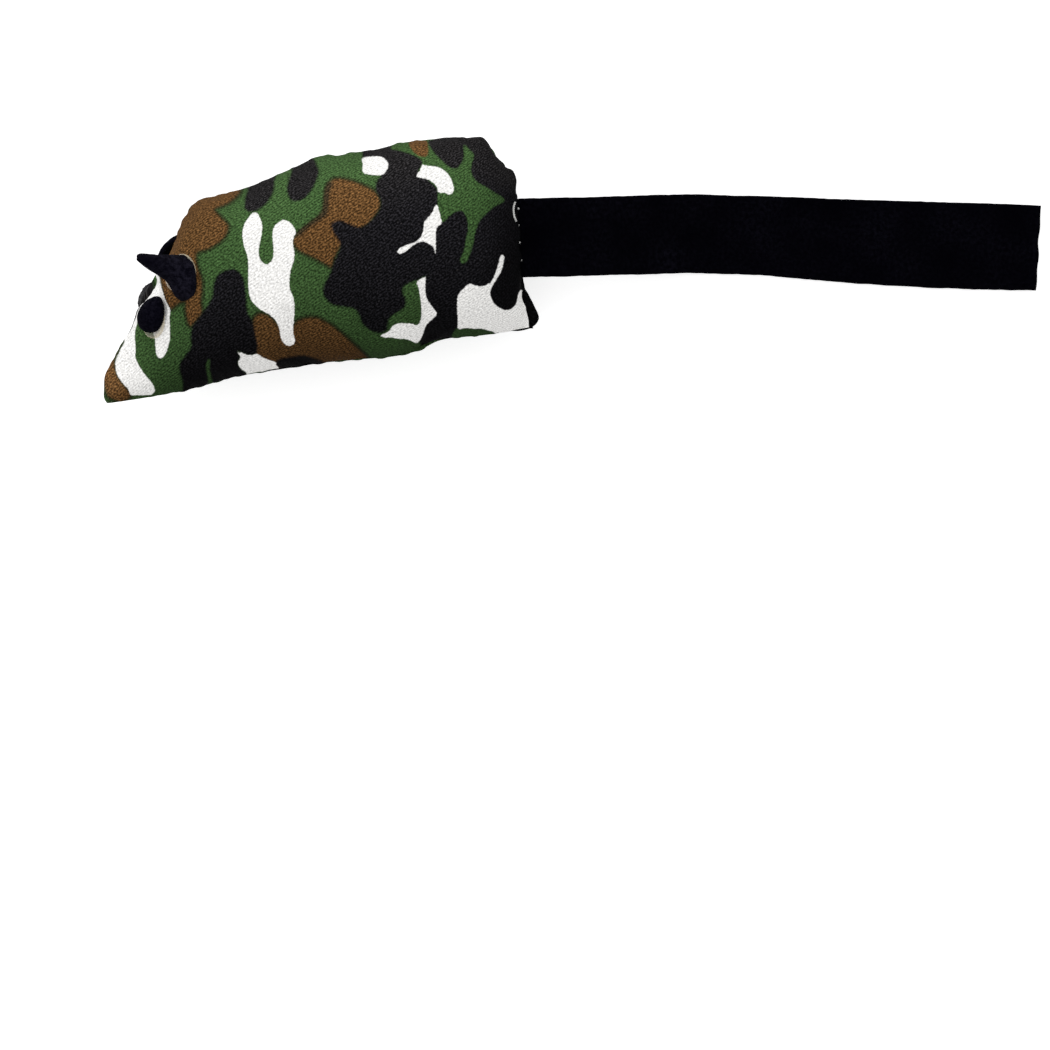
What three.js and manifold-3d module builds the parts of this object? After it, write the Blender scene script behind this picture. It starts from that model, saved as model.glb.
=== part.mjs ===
// Stuffed mouse toy for a cat, lying on its right side, in millimetres.
// +X runs from the nose to the tip of the tail, +Y from the belly to the back, +Z from the table up.
// The body is two cloth panels sewn face to face round a soft filling. Both seam allowances are
// turned in, and at the rear they clamp a felt strip, the tail. The ears and eyes sit on glue pads.
import * as THREE from "three";
import { mergeVertices } from "three/addons/utils/BufferGeometryUtils.js";
import Module from "manifold-3d";

const wasm = await Module();
wasm.setup();

const degree = Math.PI / 180;

// Body
const bodyLength = 105;
const bodyHeight = 48;
const leftSwell = 19;
const rightSwell = 17;
const noseRounding = 6;
const rearRounding = 16;
const clothThickness = 0.7;
const seamAllowance = 5;
const restingDepth = 0.5;
const bodyTilt = 10.5 * degree;
const clearance = 0.3;
const overrun = 0.6;

// Tail
const tailRootWidth = 17.9;
const tailEndWidth = 20.2;
const tailRun = 121;
const tailDropRun = 45;
const tailEndSlant = 1.2;
const feltThickness = 1.5;
const tabReach = 2.2;
const tailAim = -9.1 * degree;

// Stitches that hold the tail and close the seam below it
const threadDiameter = 0.6;
const stitchPitch = 4.1;
const stitchInset = 1.7;
const stitchEdge = 2;

// Ears
const earLength = 14;
const earWidth = 10.4;
const earFeltThickness = 1.2;
const earCupDepth = 2.4;

// Eyes and the pads of clear glue
const eyeLength = 8.6;
const eyeWidth = 7.2;
const eyeDome = 2.6;
const glueDiameter = 9.4;
const glueThickness = 1;

// Sections of the body from nose to rear: where each meets the belly seam and the back seam,
// as shares of the body's length and height.
const sectionShares = [
  { belly: [0.006, 0], back: [0.012, 0.142] },
  { belly: [0.067, -0.005], back: [0.071, 0.288] },
  { belly: [0.114, -0.006], back: [0.117, 0.435] },
  { belly: [0.167, -0.004], back: [0.165, 0.573] },
  { belly: [0.214, 0], back: [0.212, 0.682] },
  { belly: [0.262, 0.008], back: [0.25, 0.83] },
  { belly: [0.32, 0.015], back: [0.29, 0.905] },
  { belly: [0.42, 0.012], back: [0.4, 0.925] },
  { belly: [0.51, 0.002], back: [0.52, 0.98] },
  { belly: [0.6, -0.015], back: [0.594, 1.017] },
  { belly: [0.69, -0.024], back: [0.69, 0.995] },
  { belly: [0.77, 0.008], back: [0.79, 1.002] },
  { belly: [0.88, -0.008], back: [0.9, 0.975] },
  { belly: [0.925, -0.01], back: [0.952, 0.955] },
  { belly: [0.953, -0.009], back: [0.976, 0.855] },
  { belly: [0.977, -0.008], back: [1.008, 0.765] },
];

// Facets
const stationCount = 26;
const ribCount = 14;
const endDensityShare = 0.6;
const normalStepShare = 0.01;
const leastCurl = 1e-6;

// The two halves: how far each swells from the seam plane, and how full its crown is
const leftHalf = { side: 1, swell: leftSwell, crownPower: 2.5 };
const rightHalf = { side: -1, swell: rightSwell, crownPower: 3 };

const tableLevel = restingDepth - rightSwell;

// A closed solid from points and triangles, mirrored in the seam plane for the right half.
function solidFrom(points, triangles, side = 1) {
  const vertProperties = new Float32Array(points.flatMap((p) => [p.x, p.y, p.z * side]));
  const turned = side < 0 ? triangles.map(([a, b, c]) => [a, c, b]) : triangles;
  const triVerts = new Uint32Array(turned.flat());
  return new wasm.Manifold(new wasm.Mesh({ numProp: 3, vertProperties, triVerts }));
}

// A closed solid from a three.js geometry, placed by a matrix.
function solidOf(geometry, matrix = new THREE.Matrix4()) {
  const bare = geometry.clone().applyMatrix4(matrix);
  bare.deleteAttribute("normal");
  bare.deleteAttribute("uv");
  const merged = mergeVertices(bare);
  const vertProperties = new Float32Array(merged.attributes.position.array);
  const triVerts = new Uint32Array(merged.index.array);
  return new wasm.Manifold(new wasm.Mesh({ numProp: 3, vertProperties, triVerts }));
}

function geometryOf(solid) {
  const mesh = solid.getMesh();
  const geometry = new THREE.BufferGeometry();
  geometry.setAttribute("position", new THREE.BufferAttribute(mesh.vertProperties, 3));
  geometry.setIndex(new THREE.BufferAttribute(mesh.triVerts, 1));
  const faceted = geometry.toNonIndexed();
  faceted.computeVertexNormals();
  return faceted;
}

function boxBetween(low, high, matrix) {
  const size = high.clone().sub(low);
  const centre = low.clone().add(high).multiplyScalar(0.5);
  const box = new THREE.BoxGeometry(size.x, size.y, size.z);
  box.translate(centre.x, centre.y, centre.z);
  return solidOf(box, matrix);
}

const vector = (x, y, z = 0) => new THREE.Vector3(x, y, z);

// A value between evenly spaced shares
function shareAt(shares, place) {
  const spot = THREE.MathUtils.clamp(place, 0, 1) * (shares.length - 1);
  const index = Math.min(Math.floor(spot), shares.length - 2);
  return THREE.MathUtils.lerp(shares[index], shares[index + 1], spot - index);
}

// The two seam lines that the sections run between
const seamLine = (edge) =>
  new THREE.CatmullRomCurve3(
    sectionShares.map((share) => vector(share[edge][0] * bodyLength, share[edge][1] * bodyHeight)),
    false,
    "centripetal",
  );
const bellyLine = seamLine("belly");
const backLine = seamLine("back");

function sectionAt(along) {
  const belly = bellyLine.getPoint(along);
  const back = backLine.getPoint(along);
  const middle = belly.clone().lerp(back, 0.5);
  return { belly, back, middle, height: belly.distanceTo(back) };
}

const noseSection = sectionAt(0);
const rearSection = sectionAt(1);

// A quarter of a circle that ends at its full height of 1
function quarterRound(distance, radius) {
  const reach = THREE.MathUtils.clamp(1 - distance / radius, 0, 1);
  return Math.sqrt(1 - reach * reach);
}

// A point on the outside of one half, as if it lay on the left: along 0 at the nose and 1 at the
// rear, across 0 at the belly and 1 at the back.
function halfPoint(half, along, across) {
  const section = sectionAt(along);
  const fromMiddle = Math.abs(2 * across - 1);
  const crown = Math.sqrt(Math.max(0, 1 - fromMiddle ** half.crownPower));
  const nose = quarterRound(section.middle.x - noseSection.middle.x, noseRounding);
  const rear = quarterRound(rearSection.middle.x - section.middle.x, rearRounding);
  const fullness = Math.min(1, section.height / bodyHeight);
  const point = section.belly.clone().lerp(section.back, across);
  point.z = half.swell * fullness * crown * nose * rear;
  return point;
}

// The outward direction there. On the seam it lies in the seam plane.
function halfNormal(half, along, across) {
  const inside = (share) => THREE.MathUtils.clamp(share, normalStepShare, 1 - normalStepShare);
  const a = inside(along);
  const c = inside(across);
  const step = normalStepShare / 2;
  const onward = halfPoint(half, a + step, c).sub(halfPoint(half, a - step, c));
  const upward = halfPoint(half, a, c + step).sub(halfPoint(half, a, c - step));
  const normal = onward.cross(upward);
  if (along !== a || across !== c) normal.z = 0;
  return normal.normalize();
}

// Stations lie closer together at both ends, and ribs at both seams.
function stationShare(i) {
  const even = i / stationCount;
  const eased = (1 - Math.cos(Math.PI * even)) / 2;
  return THREE.MathUtils.lerp(even, eased, endDensityShare);
}

const ribShare = (j) => (1 - Math.cos((Math.PI * j) / ribCount)) / 2;

// One half as a closed solid, its surface moved out by an offset and its seam face a little past
// the seam plane.
function halfSolid(half, offset) {
  const top = [];
  for (let i = 0; i <= stationCount; i++) {
    for (let j = 0; j <= ribCount; j++) {
      const along = stationShare(i);
      const across = ribShare(j);
      const point = halfPoint(half, along, across);
      top.push(point.addScaledVector(halfNormal(half, along, across), offset));
    }
  }
  const bottom = top.map((p) => vector(p.x, p.y, -overrun));
  const at = (i, j) => i * (ribCount + 1) + j;
  const below = (index) => index + top.length;
  const triangles = [];
  for (let i = 0; i < stationCount; i++) {
    for (let j = 0; j < ribCount; j++) {
      const [a, b, c, d] = [at(i, j), at(i + 1, j), at(i + 1, j + 1), at(i, j + 1)];
      triangles.push([a, b, c], [a, c, d]);
      triangles.push([below(a), below(c), below(b)], [below(a), below(d), below(c)]);
    }
  }
  const rim = [];
  for (let i = 0; i < stationCount; i++) rim.push(at(i, 0));
  for (let j = 0; j < ribCount; j++) rim.push(at(stationCount, j));
  for (let i = stationCount; i > 0; i--) rim.push(at(i, ribCount));
  for (let j = ribCount; j > 0; j--) rim.push(at(0, j));
  rim.forEach((a, k) => {
    const b = rim[(k + 1) % rim.length];
    triangles.push([below(a), below(b), b], [below(a), b, a]);
  });
  return solidFrom([...top, ...bottom], triangles, half.side);
}

// A flat slab parallel to the seam plane and wider than the body
function slab(low, high) {
  return boxBetween(vector(-bodyLength, -bodyHeight, low), vector(2 * bodyLength, 2 * bodyHeight, high));
}

// The window inside the turned-in seam allowance, as a prism through the seam plane
function windowPrism(inset) {
  const windowSteps = 12;
  const noseStart = firstAlong((section) => section.height > 3 * inset);
  const rearEnd = firstAlong((section) => section.middle.x > rearSection.middle.x - inset);
  const lower = [];
  const upper = [];
  for (let i = 0; i <= windowSteps; i++) {
    const section = sectionAt(THREE.MathUtils.lerp(noseStart, rearEnd, i / windowSteps));
    lower.push(section.belly.clone().lerp(section.back, inset / section.height));
    upper.unshift(section.back.clone().lerp(section.belly, inset / section.height));
  }
  const outline = new THREE.Shape([...lower, ...upper].map((p) => new THREE.Vector2(p.x, p.y)));
  const depth = 2 * bodyHeight;
  const prism = new THREE.ExtrudeGeometry(outline, { depth, bevelEnabled: false });
  return solidOf(prism.translate(0, 0, -depth / 2));
}

function firstAlong(test) {
  const searchSteps = 400;
  for (let i = 0; i < searchSteps; i++) {
    if (test(sectionAt(i / searchSteps))) return i / searchSteps;
  }
  return 1;
}

// The tail's own frame: its origin on the rear seam, its x axis along the strip
const tailPlaceShare = 0.57;
const tailSeat = rearSection.belly.clone().lerp(rearSection.back, tailPlaceShare);
const tailFrame = new THREE.Matrix4().makeRotationZ(tailAim).setPosition(tailSeat);

const halfTab = feltThickness / 2;
const pocketHalfWidth = tailRootWidth / 2 + clearance;
const pocketHalfHeight = halfTab + clearance;

// Each stitch: its place along the seam in the tail's frame, and half its length
const tailStitchCount = Math.floor((tailRootWidth - 2 * stitchEdge) / stitchPitch) + 1;
const tailStitches = Array.from({ length: tailStitchCount }, (_, k) => ({
  name: `tail_stitch_${k + 1}`,
  place: (k - (tailStitchCount - 1) / 2) * stitchPitch,
  halfLength: pocketHalfHeight + clothThickness,
}));
const closingPlaceShare = 0.85;
const closingStitch = {
  name: "closing_stitch",
  place: -(pocketHalfWidth + stitchPitch * closingPlaceShare),
  halfLength: clearance / 2 + clothThickness,
};
const stitches = [...tailStitches, closingStitch];

function threadSolid(stitch, radius, halfLength) {
  const threadSides = 8;
  const rod = new THREE.CylinderGeometry(radius, radius, 2 * halfLength, threadSides);
  rod.rotateX(Math.PI / 2);
  const along = -stitchInset + (stitch.place * (rearSection.back.x - rearSection.belly.x)) / rearSection.height;
  const lean = stitch.place * Math.tan(-tailAim);
  rod.translate(along - lean, stitch.place, 0);
  return solidOf(rod, tailFrame);
}

// One side panel: a cloth shell with its seam allowance turned in along the seam plane, a pocket
// for the tail's tab between the allowances, and a hole for each stitch.
function sidePanel(half) {
  const inward = half.side;
  const from = (low, high) => (inward > 0 ? [low, high] : [-high, -low]);
  const outer = halfSolid(half, 0).subtract(slab(...from(-bodyHeight, clearance / 2)));
  const cavity = halfSolid(half, -clothThickness);
  const allowance = slab(...from(-bodyHeight, clearance / 2 + clothThickness)).subtract(
    windowPrism(seamAllowance),
  );
  const [plateLow, plateHigh] = from(pocketHalfHeight, pocketHalfHeight + clothThickness);
  const plate = boxBetween(
    vector(-seamAllowance, -pocketHalfWidth - clothThickness, plateLow),
    vector(seamAllowance, pocketHalfWidth + clothThickness, plateHigh),
    tailFrame,
  );
  const pocket = boxBetween(
    vector(-seamAllowance - clearance, -pocketHalfWidth, -pocketHalfHeight),
    vector(seamAllowance, pocketHalfWidth, pocketHalfHeight),
    tailFrame,
  );
  let panel = outer.subtract(cavity.subtract(allowance).subtract(plate)).subtract(pocket);
  for (const stitch of stitches) {
    panel = panel.subtract(threadSolid(stitch, threadDiameter / 2 + clearance, seamAllowance));
  }
  return half.side > 0 ? panel : panel.subtract(slab(-bodyHeight, tableLevel));
}

// The filling takes the room inside both panels, clear of the allowances and the tail's tab.
function filling() {
  const offset = -(clothThickness + clearance);
  const both = halfSolid(leftHalf, offset).add(halfSolid(rightHalf, offset));
  const seamRoom = clearance / 2 + clothThickness + clearance;
  const allowances = slab(-seamRoom, seamRoom).subtract(windowPrism(seamAllowance + clearance));
  const tabRoom = pocketHalfHeight + clothThickness + clearance;
  const tabWidth = pocketHalfWidth + clothThickness + clearance;
  const tab = boxBetween(
    vector(-seamAllowance - 2 * clearance, -tabWidth, -tabRoom),
    vector(seamAllowance, tabWidth, tabRoom),
    tailFrame,
  );
  const aboveTable = slab(tableLevel + clothThickness + clearance, bodyHeight);
  return both.intersect(aboveTable).subtract(allowances).subtract(tab);
}

// The end of the tail strip that the seam holds: a tab with the stitches through it
function tailTab() {
  const tab = boxBetween(
    vector(-seamAllowance, -tailRootWidth / 2, -halfTab),
    vector(tabReach, tailRootWidth / 2, halfTab),
    tailFrame,
  );
  return tailStitches.reduce(
    (rest, stitch) => rest.subtract(threadSolid(stitch, threadDiameter / 2 + clearance, seamAllowance)),
    tab,
  );
}

// Felt with a half-round end at its hinge. Each row has a middle point, the direction of its
// width, its half width, and the direction of its thickness.
const roundEndAngles = [15, 40, 65, 90].map((angle) => angle * degree);

function feltSolid(rows, thickness) {
  const columns = rows[0].length;
  const points = [];
  for (const sideSign of [1, -1]) {
    for (const row of rows) {
      for (const spot of row) {
        const half = (spot.thicknessShare * thickness) / 2;
        points.push(spot.point.clone().addScaledVector(spot.normal, sideSign * half));
      }
    }
  }
  const at = (i, j) => i * columns + j;
  const below = (index) => index + rows.length * columns;
  const triangles = [];
  for (let i = 0; i < rows.length - 1; i++) {
    for (let j = 0; j < columns - 1; j++) {
      const [a, b, c, d] = [at(i, j), at(i + 1, j), at(i + 1, j + 1), at(i, j + 1)];
      triangles.push([a, b, c], [a, c, d]);
      triangles.push([below(a), below(c), below(b)], [below(a), below(d), below(c)]);
    }
  }
  const rim = [];
  for (let i = 0; i < rows.length - 1; i++) rim.push(at(i, 0));
  for (let j = 0; j < columns - 1; j++) rim.push(at(rows.length - 1, j));
  for (let i = rows.length - 1; i > 0; i--) rim.push(at(i, columns - 1));
  for (let j = columns - 1; j > 0; j--) rim.push(at(0, j));
  rim.forEach((a, k) => {
    const b = rim[(k + 1) % rim.length];
    triangles.push([below(a), below(b), b], [below(a), b, a]);
  });
  return solidFrom(points, triangles);
}

// How far the strip has sunk from the seam plane to the table, and how far it bends sideways
const tailHinge = tabReach + clearance + halfTab;
const tailDrop = -tableLevel - halfTab;
const tailBendShares = [0, 0.001, 0.003, 0, -0.006, -0.014, -0.023, -0.03, -0.037, -0.044];

const tailBend = (share) => shareAt(tailBendShares, share) * tailRun;

function tailStrip() {
  const tailSteps = 44;
  const start = tailHinge - halfTab;
  const distances = roundEndAngles.map((angle) => halfTab * (1 - Math.cos(angle)));
  const shares = roundEndAngles.map((angle) => Math.sin(angle));
  for (let i = 1; i <= tailSteps; i++) {
    distances.push(halfTab + ((tailRun - halfTab) * i) / tailSteps);
    shares.push(1);
  }
  const levelAt = (distance) =>
    -tailDrop * THREE.MathUtils.smoothstep(distance, halfTab, halfTab + tailDropRun);
  const rows = distances.map((distance, i) => {
    const share = distance / tailRun;
    const slope = (levelAt(distance + overrun) - levelAt(distance - overrun)) / (2 * overrun);
    const normal = vector(-slope, 0, 1).normalize();
    const halfWidth = THREE.MathUtils.lerp(tailRootWidth, tailEndWidth, share) / 2;
    return [-1, 1].map((edge) => ({
      point: vector(
        start + distance + (edge * share * tailEndSlant) / 2,
        tailBend(share) + edge * halfWidth,
        levelAt(distance),
      ),
      normal,
      thicknessShare: shares[i],
    }));
  });
  return feltSolid(rows, feltThickness);
}

// Where an ear stands, by shares of the body's surface, and how its leaf points: its aim in the
// seam plane, its lift out of it, the roll about its own length and the curl along it.
const earPlaces = {
  left: { half: leftHalf, along: 0.346, across: 0.62, aim: 147, lift: 25, roll: 8, curl: -14, cup: 1 },
  right: { half: rightHalf, along: 0.3, across: 0.742, aim: 117, lift: 8, roll: -28, curl: -96, cup: 0.2 },
};
const earPadPlaces = {
  left: { half: leftHalf, along: 0.3, across: 0.76 },
  right: { half: rightHalf, along: 0.292, across: 0.77 },
};
const eyePlaces = {
  left: { half: leftHalf, along: 0.185, across: 0.71, turn: 70 },
  right: { half: rightHalf, along: 0.182, across: 0.87, turn: 60 },
};

function surfaceFrame(place) {
  const point = halfPoint(place.half, place.along, place.across);
  const normal = halfNormal(place.half, place.along, place.across);
  point.z *= place.half.side;
  normal.z *= place.half.side;
  return { point, normal };
}

// The ear's hinge frame: a lies along the leaf, b along its base, c out of its back
const earRadius = earFeltThickness / 2;

function earFrame(place) {
  const { point, normal } = surfaceFrame(place);
  const aim = place.aim * degree;
  const lift = place.lift * degree * place.half.side;
  const a = vector(Math.cos(aim) * Math.cos(lift), Math.sin(aim) * Math.cos(lift), Math.sin(lift));
  const b = vector(0, 0, 1).cross(a).normalize();
  b.applyAxisAngle(a, place.roll * degree * place.half.side);
  const c = a.clone().cross(b);
  if (c.dot(normal) < 0) {
    b.negate();
    c.negate();
  }
  const height = clearance + glueThickness + clearance + earRadius;
  return { hinge: point.addScaledVector(normal, height), a, b, c };
}

// Half widths along the leaf, as shares of half its width
const earWidthShares = [0.42, 0.82, 1, 0.97, 0.87, 0.73, 0.57, 0.41, 0.2];

// How deep the leaf is cupped along its length, as shares of its cup's depth
const earCupShares = [0, 0.75, 1, 1, 0.9, 0.75, 0.5, 0.2, 0];

// A cupped felt leaf: straight and half-round at its base, widest near its middle, with a blunt tip
function earLeaf(place) {
  const earSteps = 12;
  const earColumns = 8;
  const { hinge, a, b, c } = earFrame(place);
  const distances = roundEndAngles.map((angle) => -earRadius * Math.cos(angle));
  const shares = roundEndAngles.map((angle) => Math.sin(angle));
  for (let i = 1; i <= earSteps; i++) {
    distances.push((earLength * i) / earSteps);
    shares.push(1);
  }
  const curl = place.curl * degree;
  const middle = (distance) => {
    const turn = (curl * Math.max(0, distance)) / earLength;
    const curled = Math.abs(turn) > leastCurl;
    const chordLength = curled ? (distance * Math.sin(turn)) / turn : distance;
    const sag = curled ? (distance * (1 - Math.cos(turn))) / turn : 0;
    return hinge.clone().addScaledVector(a, chordLength).addScaledVector(c, sag);
  };
  const rows = distances.map((distance, i) => {
    const share = Math.max(0, distance) / earLength;
    const halfWidth = (earWidth / 2) * shareAt(earWidthShares, share);
    const depth = earCupDepth * place.cup * shareAt(earCupShares, share);
    const turn = curl * share;
    const out = c.clone().multiplyScalar(Math.cos(turn)).addScaledVector(a, -Math.sin(turn));
    const row = [];
    for (let j = 0; j <= earColumns; j++) {
      const across = (2 * j) / earColumns - 1;
      const point = middle(distance)
        .addScaledVector(b, halfWidth * across)
        .addScaledVector(out, -depth * across * across);
      const normal = out
        .clone()
        .multiplyScalar(halfWidth)
        .addScaledVector(b, 2 * depth * across)
        .normalize();
      row.push({ point, normal, thicknessShare: shares[i] });
    }
    return row;
  });
  return feltSolid(rows, earFeltThickness);
}

// A solid from a geometry that stands on the cloth, its z axis out of the body
function placedSolid(place, geometry) {
  const { point, normal } = surfaceFrame(place);
  const turn = new THREE.Quaternion().setFromUnitVectors(vector(0, 0, 1), normal);
  const matrix = new THREE.Matrix4().compose(point, turn, vector(1, 1, 1));
  return solidOf(geometry, matrix);
}

// A pad of glue follows the cloth under it.
function gluePad(place) {
  const glueSides = 24;
  const radius = glueDiameter / 2;
  const disc = new THREE.CylinderGeometry(radius, radius, glueDiameter, glueSides);
  disc.rotateX(Math.PI / 2);
  const top = halfSolid(place.half, clearance + glueThickness);
  return placedSolid(place, disc).intersect(top).subtract(halfSolid(place.half, clearance));
}

// A low oval dome that sits on its glue pad
function eyeSolid(place) {
  const eyeSteps = 6;
  const eyeSides = 24;
  const seat = clearance + glueThickness + clearance;
  const profile = [new THREE.Vector2(0, -eyeDome)];
  profile.push(new THREE.Vector2(eyeWidth / 2, -eyeDome));
  for (let i = 0; i <= eyeSteps; i++) {
    const angle = ((Math.PI / 2) * i) / eyeSteps;
    profile.push(new THREE.Vector2((Math.cos(angle) * eyeWidth) / 2, seat + Math.sin(angle) * eyeDome));
  }
  profile[profile.length - 1].x = 0;
  const dome = new THREE.LatheGeometry(profile, eyeSides);
  dome.rotateX(Math.PI / 2);
  dome.scale(eyeLength / eyeWidth, 1, 1);
  dome.rotateZ(place.turn * degree);
  return placedSolid(place, dome).subtract(halfSolid(place.half, seat));
}

// Materials
const material = (color, roughness, extra = {}) =>
  new THREE.MeshStandardMaterial({ color, roughness, metalness: 0, ...extra });
const cloth = material(0x3f6b3a, 0.9);
const fibre = material(0xf1efe9, 1);
const felt = material(0x131218, 0.95);
const flock = material(0x0b0a10, 1);
const glue = material(0xe9e4d4, 0.25, { transparent: true, opacity: 0.6 });
const thread = material(0xeeeeea, 0.7);

const bodyGroup = new THREE.Group();

function addPiece(name, solid, finish) {
  const mesh = new THREE.Mesh(geometryOf(solid), finish);
  mesh.name = name;
  bodyGroup.add(mesh);
}

addPiece("left_side_panel", sidePanel(leftHalf), cloth);
addPiece("right_side_panel", sidePanel(rightHalf), cloth);
addPiece("stuffing", filling(), fibre);
addPiece("tail_root", tailTab(), felt);
for (const stitch of stitches) {
  addPiece(stitch.name, threadSolid(stitch, threadDiameter / 2, stitch.halfLength), thread);
}
for (const side of ["left", "right"]) {
  addPiece(`${side}_ear_glue`, gluePad(earPadPlaces[side]), glue);
  addPiece(`${side}_ear`, earLeaf(earPlaces[side]), felt);
  addPiece(`${side}_eye_glue`, gluePad(eyePlaces[side]), glue);
  addPiece(`${side}_eye`, eyeSolid(eyePlaces[side]), flock);
}

const tailMesh = new THREE.Mesh(geometryOf(tailStrip()), felt);
tailMesh.name = "tail";
tailMesh.applyMatrix4(tailFrame);
bodyGroup.add(tailMesh);

// The toy lies with its body tilted on the table, over the middle of its own outline.
bodyGroup.rotation.z = bodyTilt;
bodyGroup.updateMatrixWorld(true);
const outline = new THREE.Box3().setFromObject(bodyGroup, true);
const centre = outline.getCenter(vector(0, 0));
bodyGroup.position.set(-centre.x, -centre.y, -tableLevel);

const toy = new THREE.Group();
toy.add(bodyGroup);

export default toy;
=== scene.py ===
import math
import bpy
import numpy as np
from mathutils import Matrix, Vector
from mathutils.bvhtree import BVHTree


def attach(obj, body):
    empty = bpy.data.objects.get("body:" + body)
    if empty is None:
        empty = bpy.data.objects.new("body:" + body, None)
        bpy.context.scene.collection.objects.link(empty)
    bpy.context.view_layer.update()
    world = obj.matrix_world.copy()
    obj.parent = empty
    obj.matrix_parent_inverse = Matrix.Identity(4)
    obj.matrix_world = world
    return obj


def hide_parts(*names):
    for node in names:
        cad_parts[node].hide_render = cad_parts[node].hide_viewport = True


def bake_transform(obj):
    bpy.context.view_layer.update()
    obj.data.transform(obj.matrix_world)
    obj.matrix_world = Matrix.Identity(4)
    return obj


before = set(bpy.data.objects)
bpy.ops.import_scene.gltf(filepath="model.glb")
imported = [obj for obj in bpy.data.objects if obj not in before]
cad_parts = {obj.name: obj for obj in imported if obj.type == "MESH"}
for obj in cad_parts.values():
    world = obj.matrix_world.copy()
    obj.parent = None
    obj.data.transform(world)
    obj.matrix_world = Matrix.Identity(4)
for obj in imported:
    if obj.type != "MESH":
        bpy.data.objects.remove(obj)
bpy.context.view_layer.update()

mm = 0.001
degree = math.pi / 180
# These keep a division, and a power or a turn, from meeting zero.
tiny = 1e-12
small = 1e-9

# The photograph looks straight down on the toy. Its pixels are placed on the plane of the seam,
# and other levels follow by perspective about the picture's centre.
picture_centre = 525
pixels_per_metre = 4200
nose_pixel_x = 104
nose_pixel_y = 404
camera_height = 1.3889
seam_level = 16.5 * mm
body_x = -111.521 * mm
body_y = -31.868 * mm
body_tilt = 10.5 * degree


def level_scale(level):
    return camera_height / (camera_height - (level - seam_level))


def pixel_of(points):
    """The photograph's pixel of each point."""
    scale = level_scale(points[..., 2])
    across = nose_pixel_x + pixels_per_metre * (points[..., 0] - body_x) - picture_centre
    down = nose_pixel_y - pixels_per_metre * (points[..., 1] - body_y) - picture_centre
    return picture_centre + np.stack([across * scale, down * scale], axis=-1)


def at_pixel(x, y, level):
    """The point at that level that shows at pixel x, y."""
    x = np.asarray(x, float)
    scale = level_scale(level)
    across = (x - picture_centre) / scale + picture_centre - nose_pixel_x
    down = (np.asarray(y, float) - picture_centre) / scale + picture_centre - nose_pixel_y
    point_x = body_x + across / pixels_per_metre
    point_y = body_y - down / pixels_per_metre
    return np.stack([point_x, point_y, level + 0 * x], axis=-1)


def to_world(points, side):
    """From the body's frame, where z grows away from the seam on either side."""
    turn_x, turn_y = math.cos(body_tilt), math.sin(body_tilt)
    x = points[..., 0] * turn_x - points[..., 1] * turn_y + body_x
    y = points[..., 0] * turn_y + points[..., 1] * turn_x + body_y
    return np.stack([x, y, seam_level + side * points[..., 2]], axis=-1)


def smooth_step(value, low, high):
    share = np.clip((value - low) / (high - low), 0, 1)
    return share * share * (3 - 2 * share)


def quarter_round(distance, radius):
    """A quarter of a circle that ends at its full height of 1."""
    reach = np.clip(1 - distance / radius, 0, 1)
    return np.sqrt(1 - reach * reach)


def bell(distance, reach):
    return np.exp(-((distance / reach) ** 2))


def length_of(vectors):
    return np.linalg.norm(vectors, axis=-1)


def ripple(points, wavelength, seed):
    """Smooth seeded noise of about that wavelength, mostly from -1 to 1."""
    waves = 14
    random = np.random.default_rng(seed)
    ways = random.normal(size=(waves, 3))
    ways /= np.linalg.norm(ways, axis=1)[:, None]
    lengths = wavelength * random.uniform(0.7, 1.6, waves)
    starts = random.uniform(0, 2 * math.pi, waves)
    total = np.zeros(points.shape[:-1])
    for way, length, start in zip(ways, lengths, starts):
        total += np.cos(2 * math.pi * (points @ way) / length + start)
    return total / math.sqrt(waves)


# Camera and light

camera_data = bpy.data.cameras.new("camera")
camera_data.lens = 200
camera_data.sensor_width = 36
camera = bpy.data.objects.new("camera", camera_data)
bpy.context.collection.objects.link(camera)
camera.location = at_pixel(picture_centre, picture_centre, seam_level) + (0, 0, camera_height)
bpy.context.scene.camera = camera
bpy.context.scene.view_settings.view_transform = "Standard"

sun_data = bpy.data.lights.new("key", "SUN")
sun_data.energy = 1.3
sun_data.angle = 50 * degree
sun = bpy.data.objects.new("key", sun_data)
bpy.context.collection.objects.link(sun)
key_comes_from = Vector((-0.34, 0.63, 0.70))
sun.rotation_euler = key_comes_from.to_track_quat("Z", "Y").to_euler()


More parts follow.
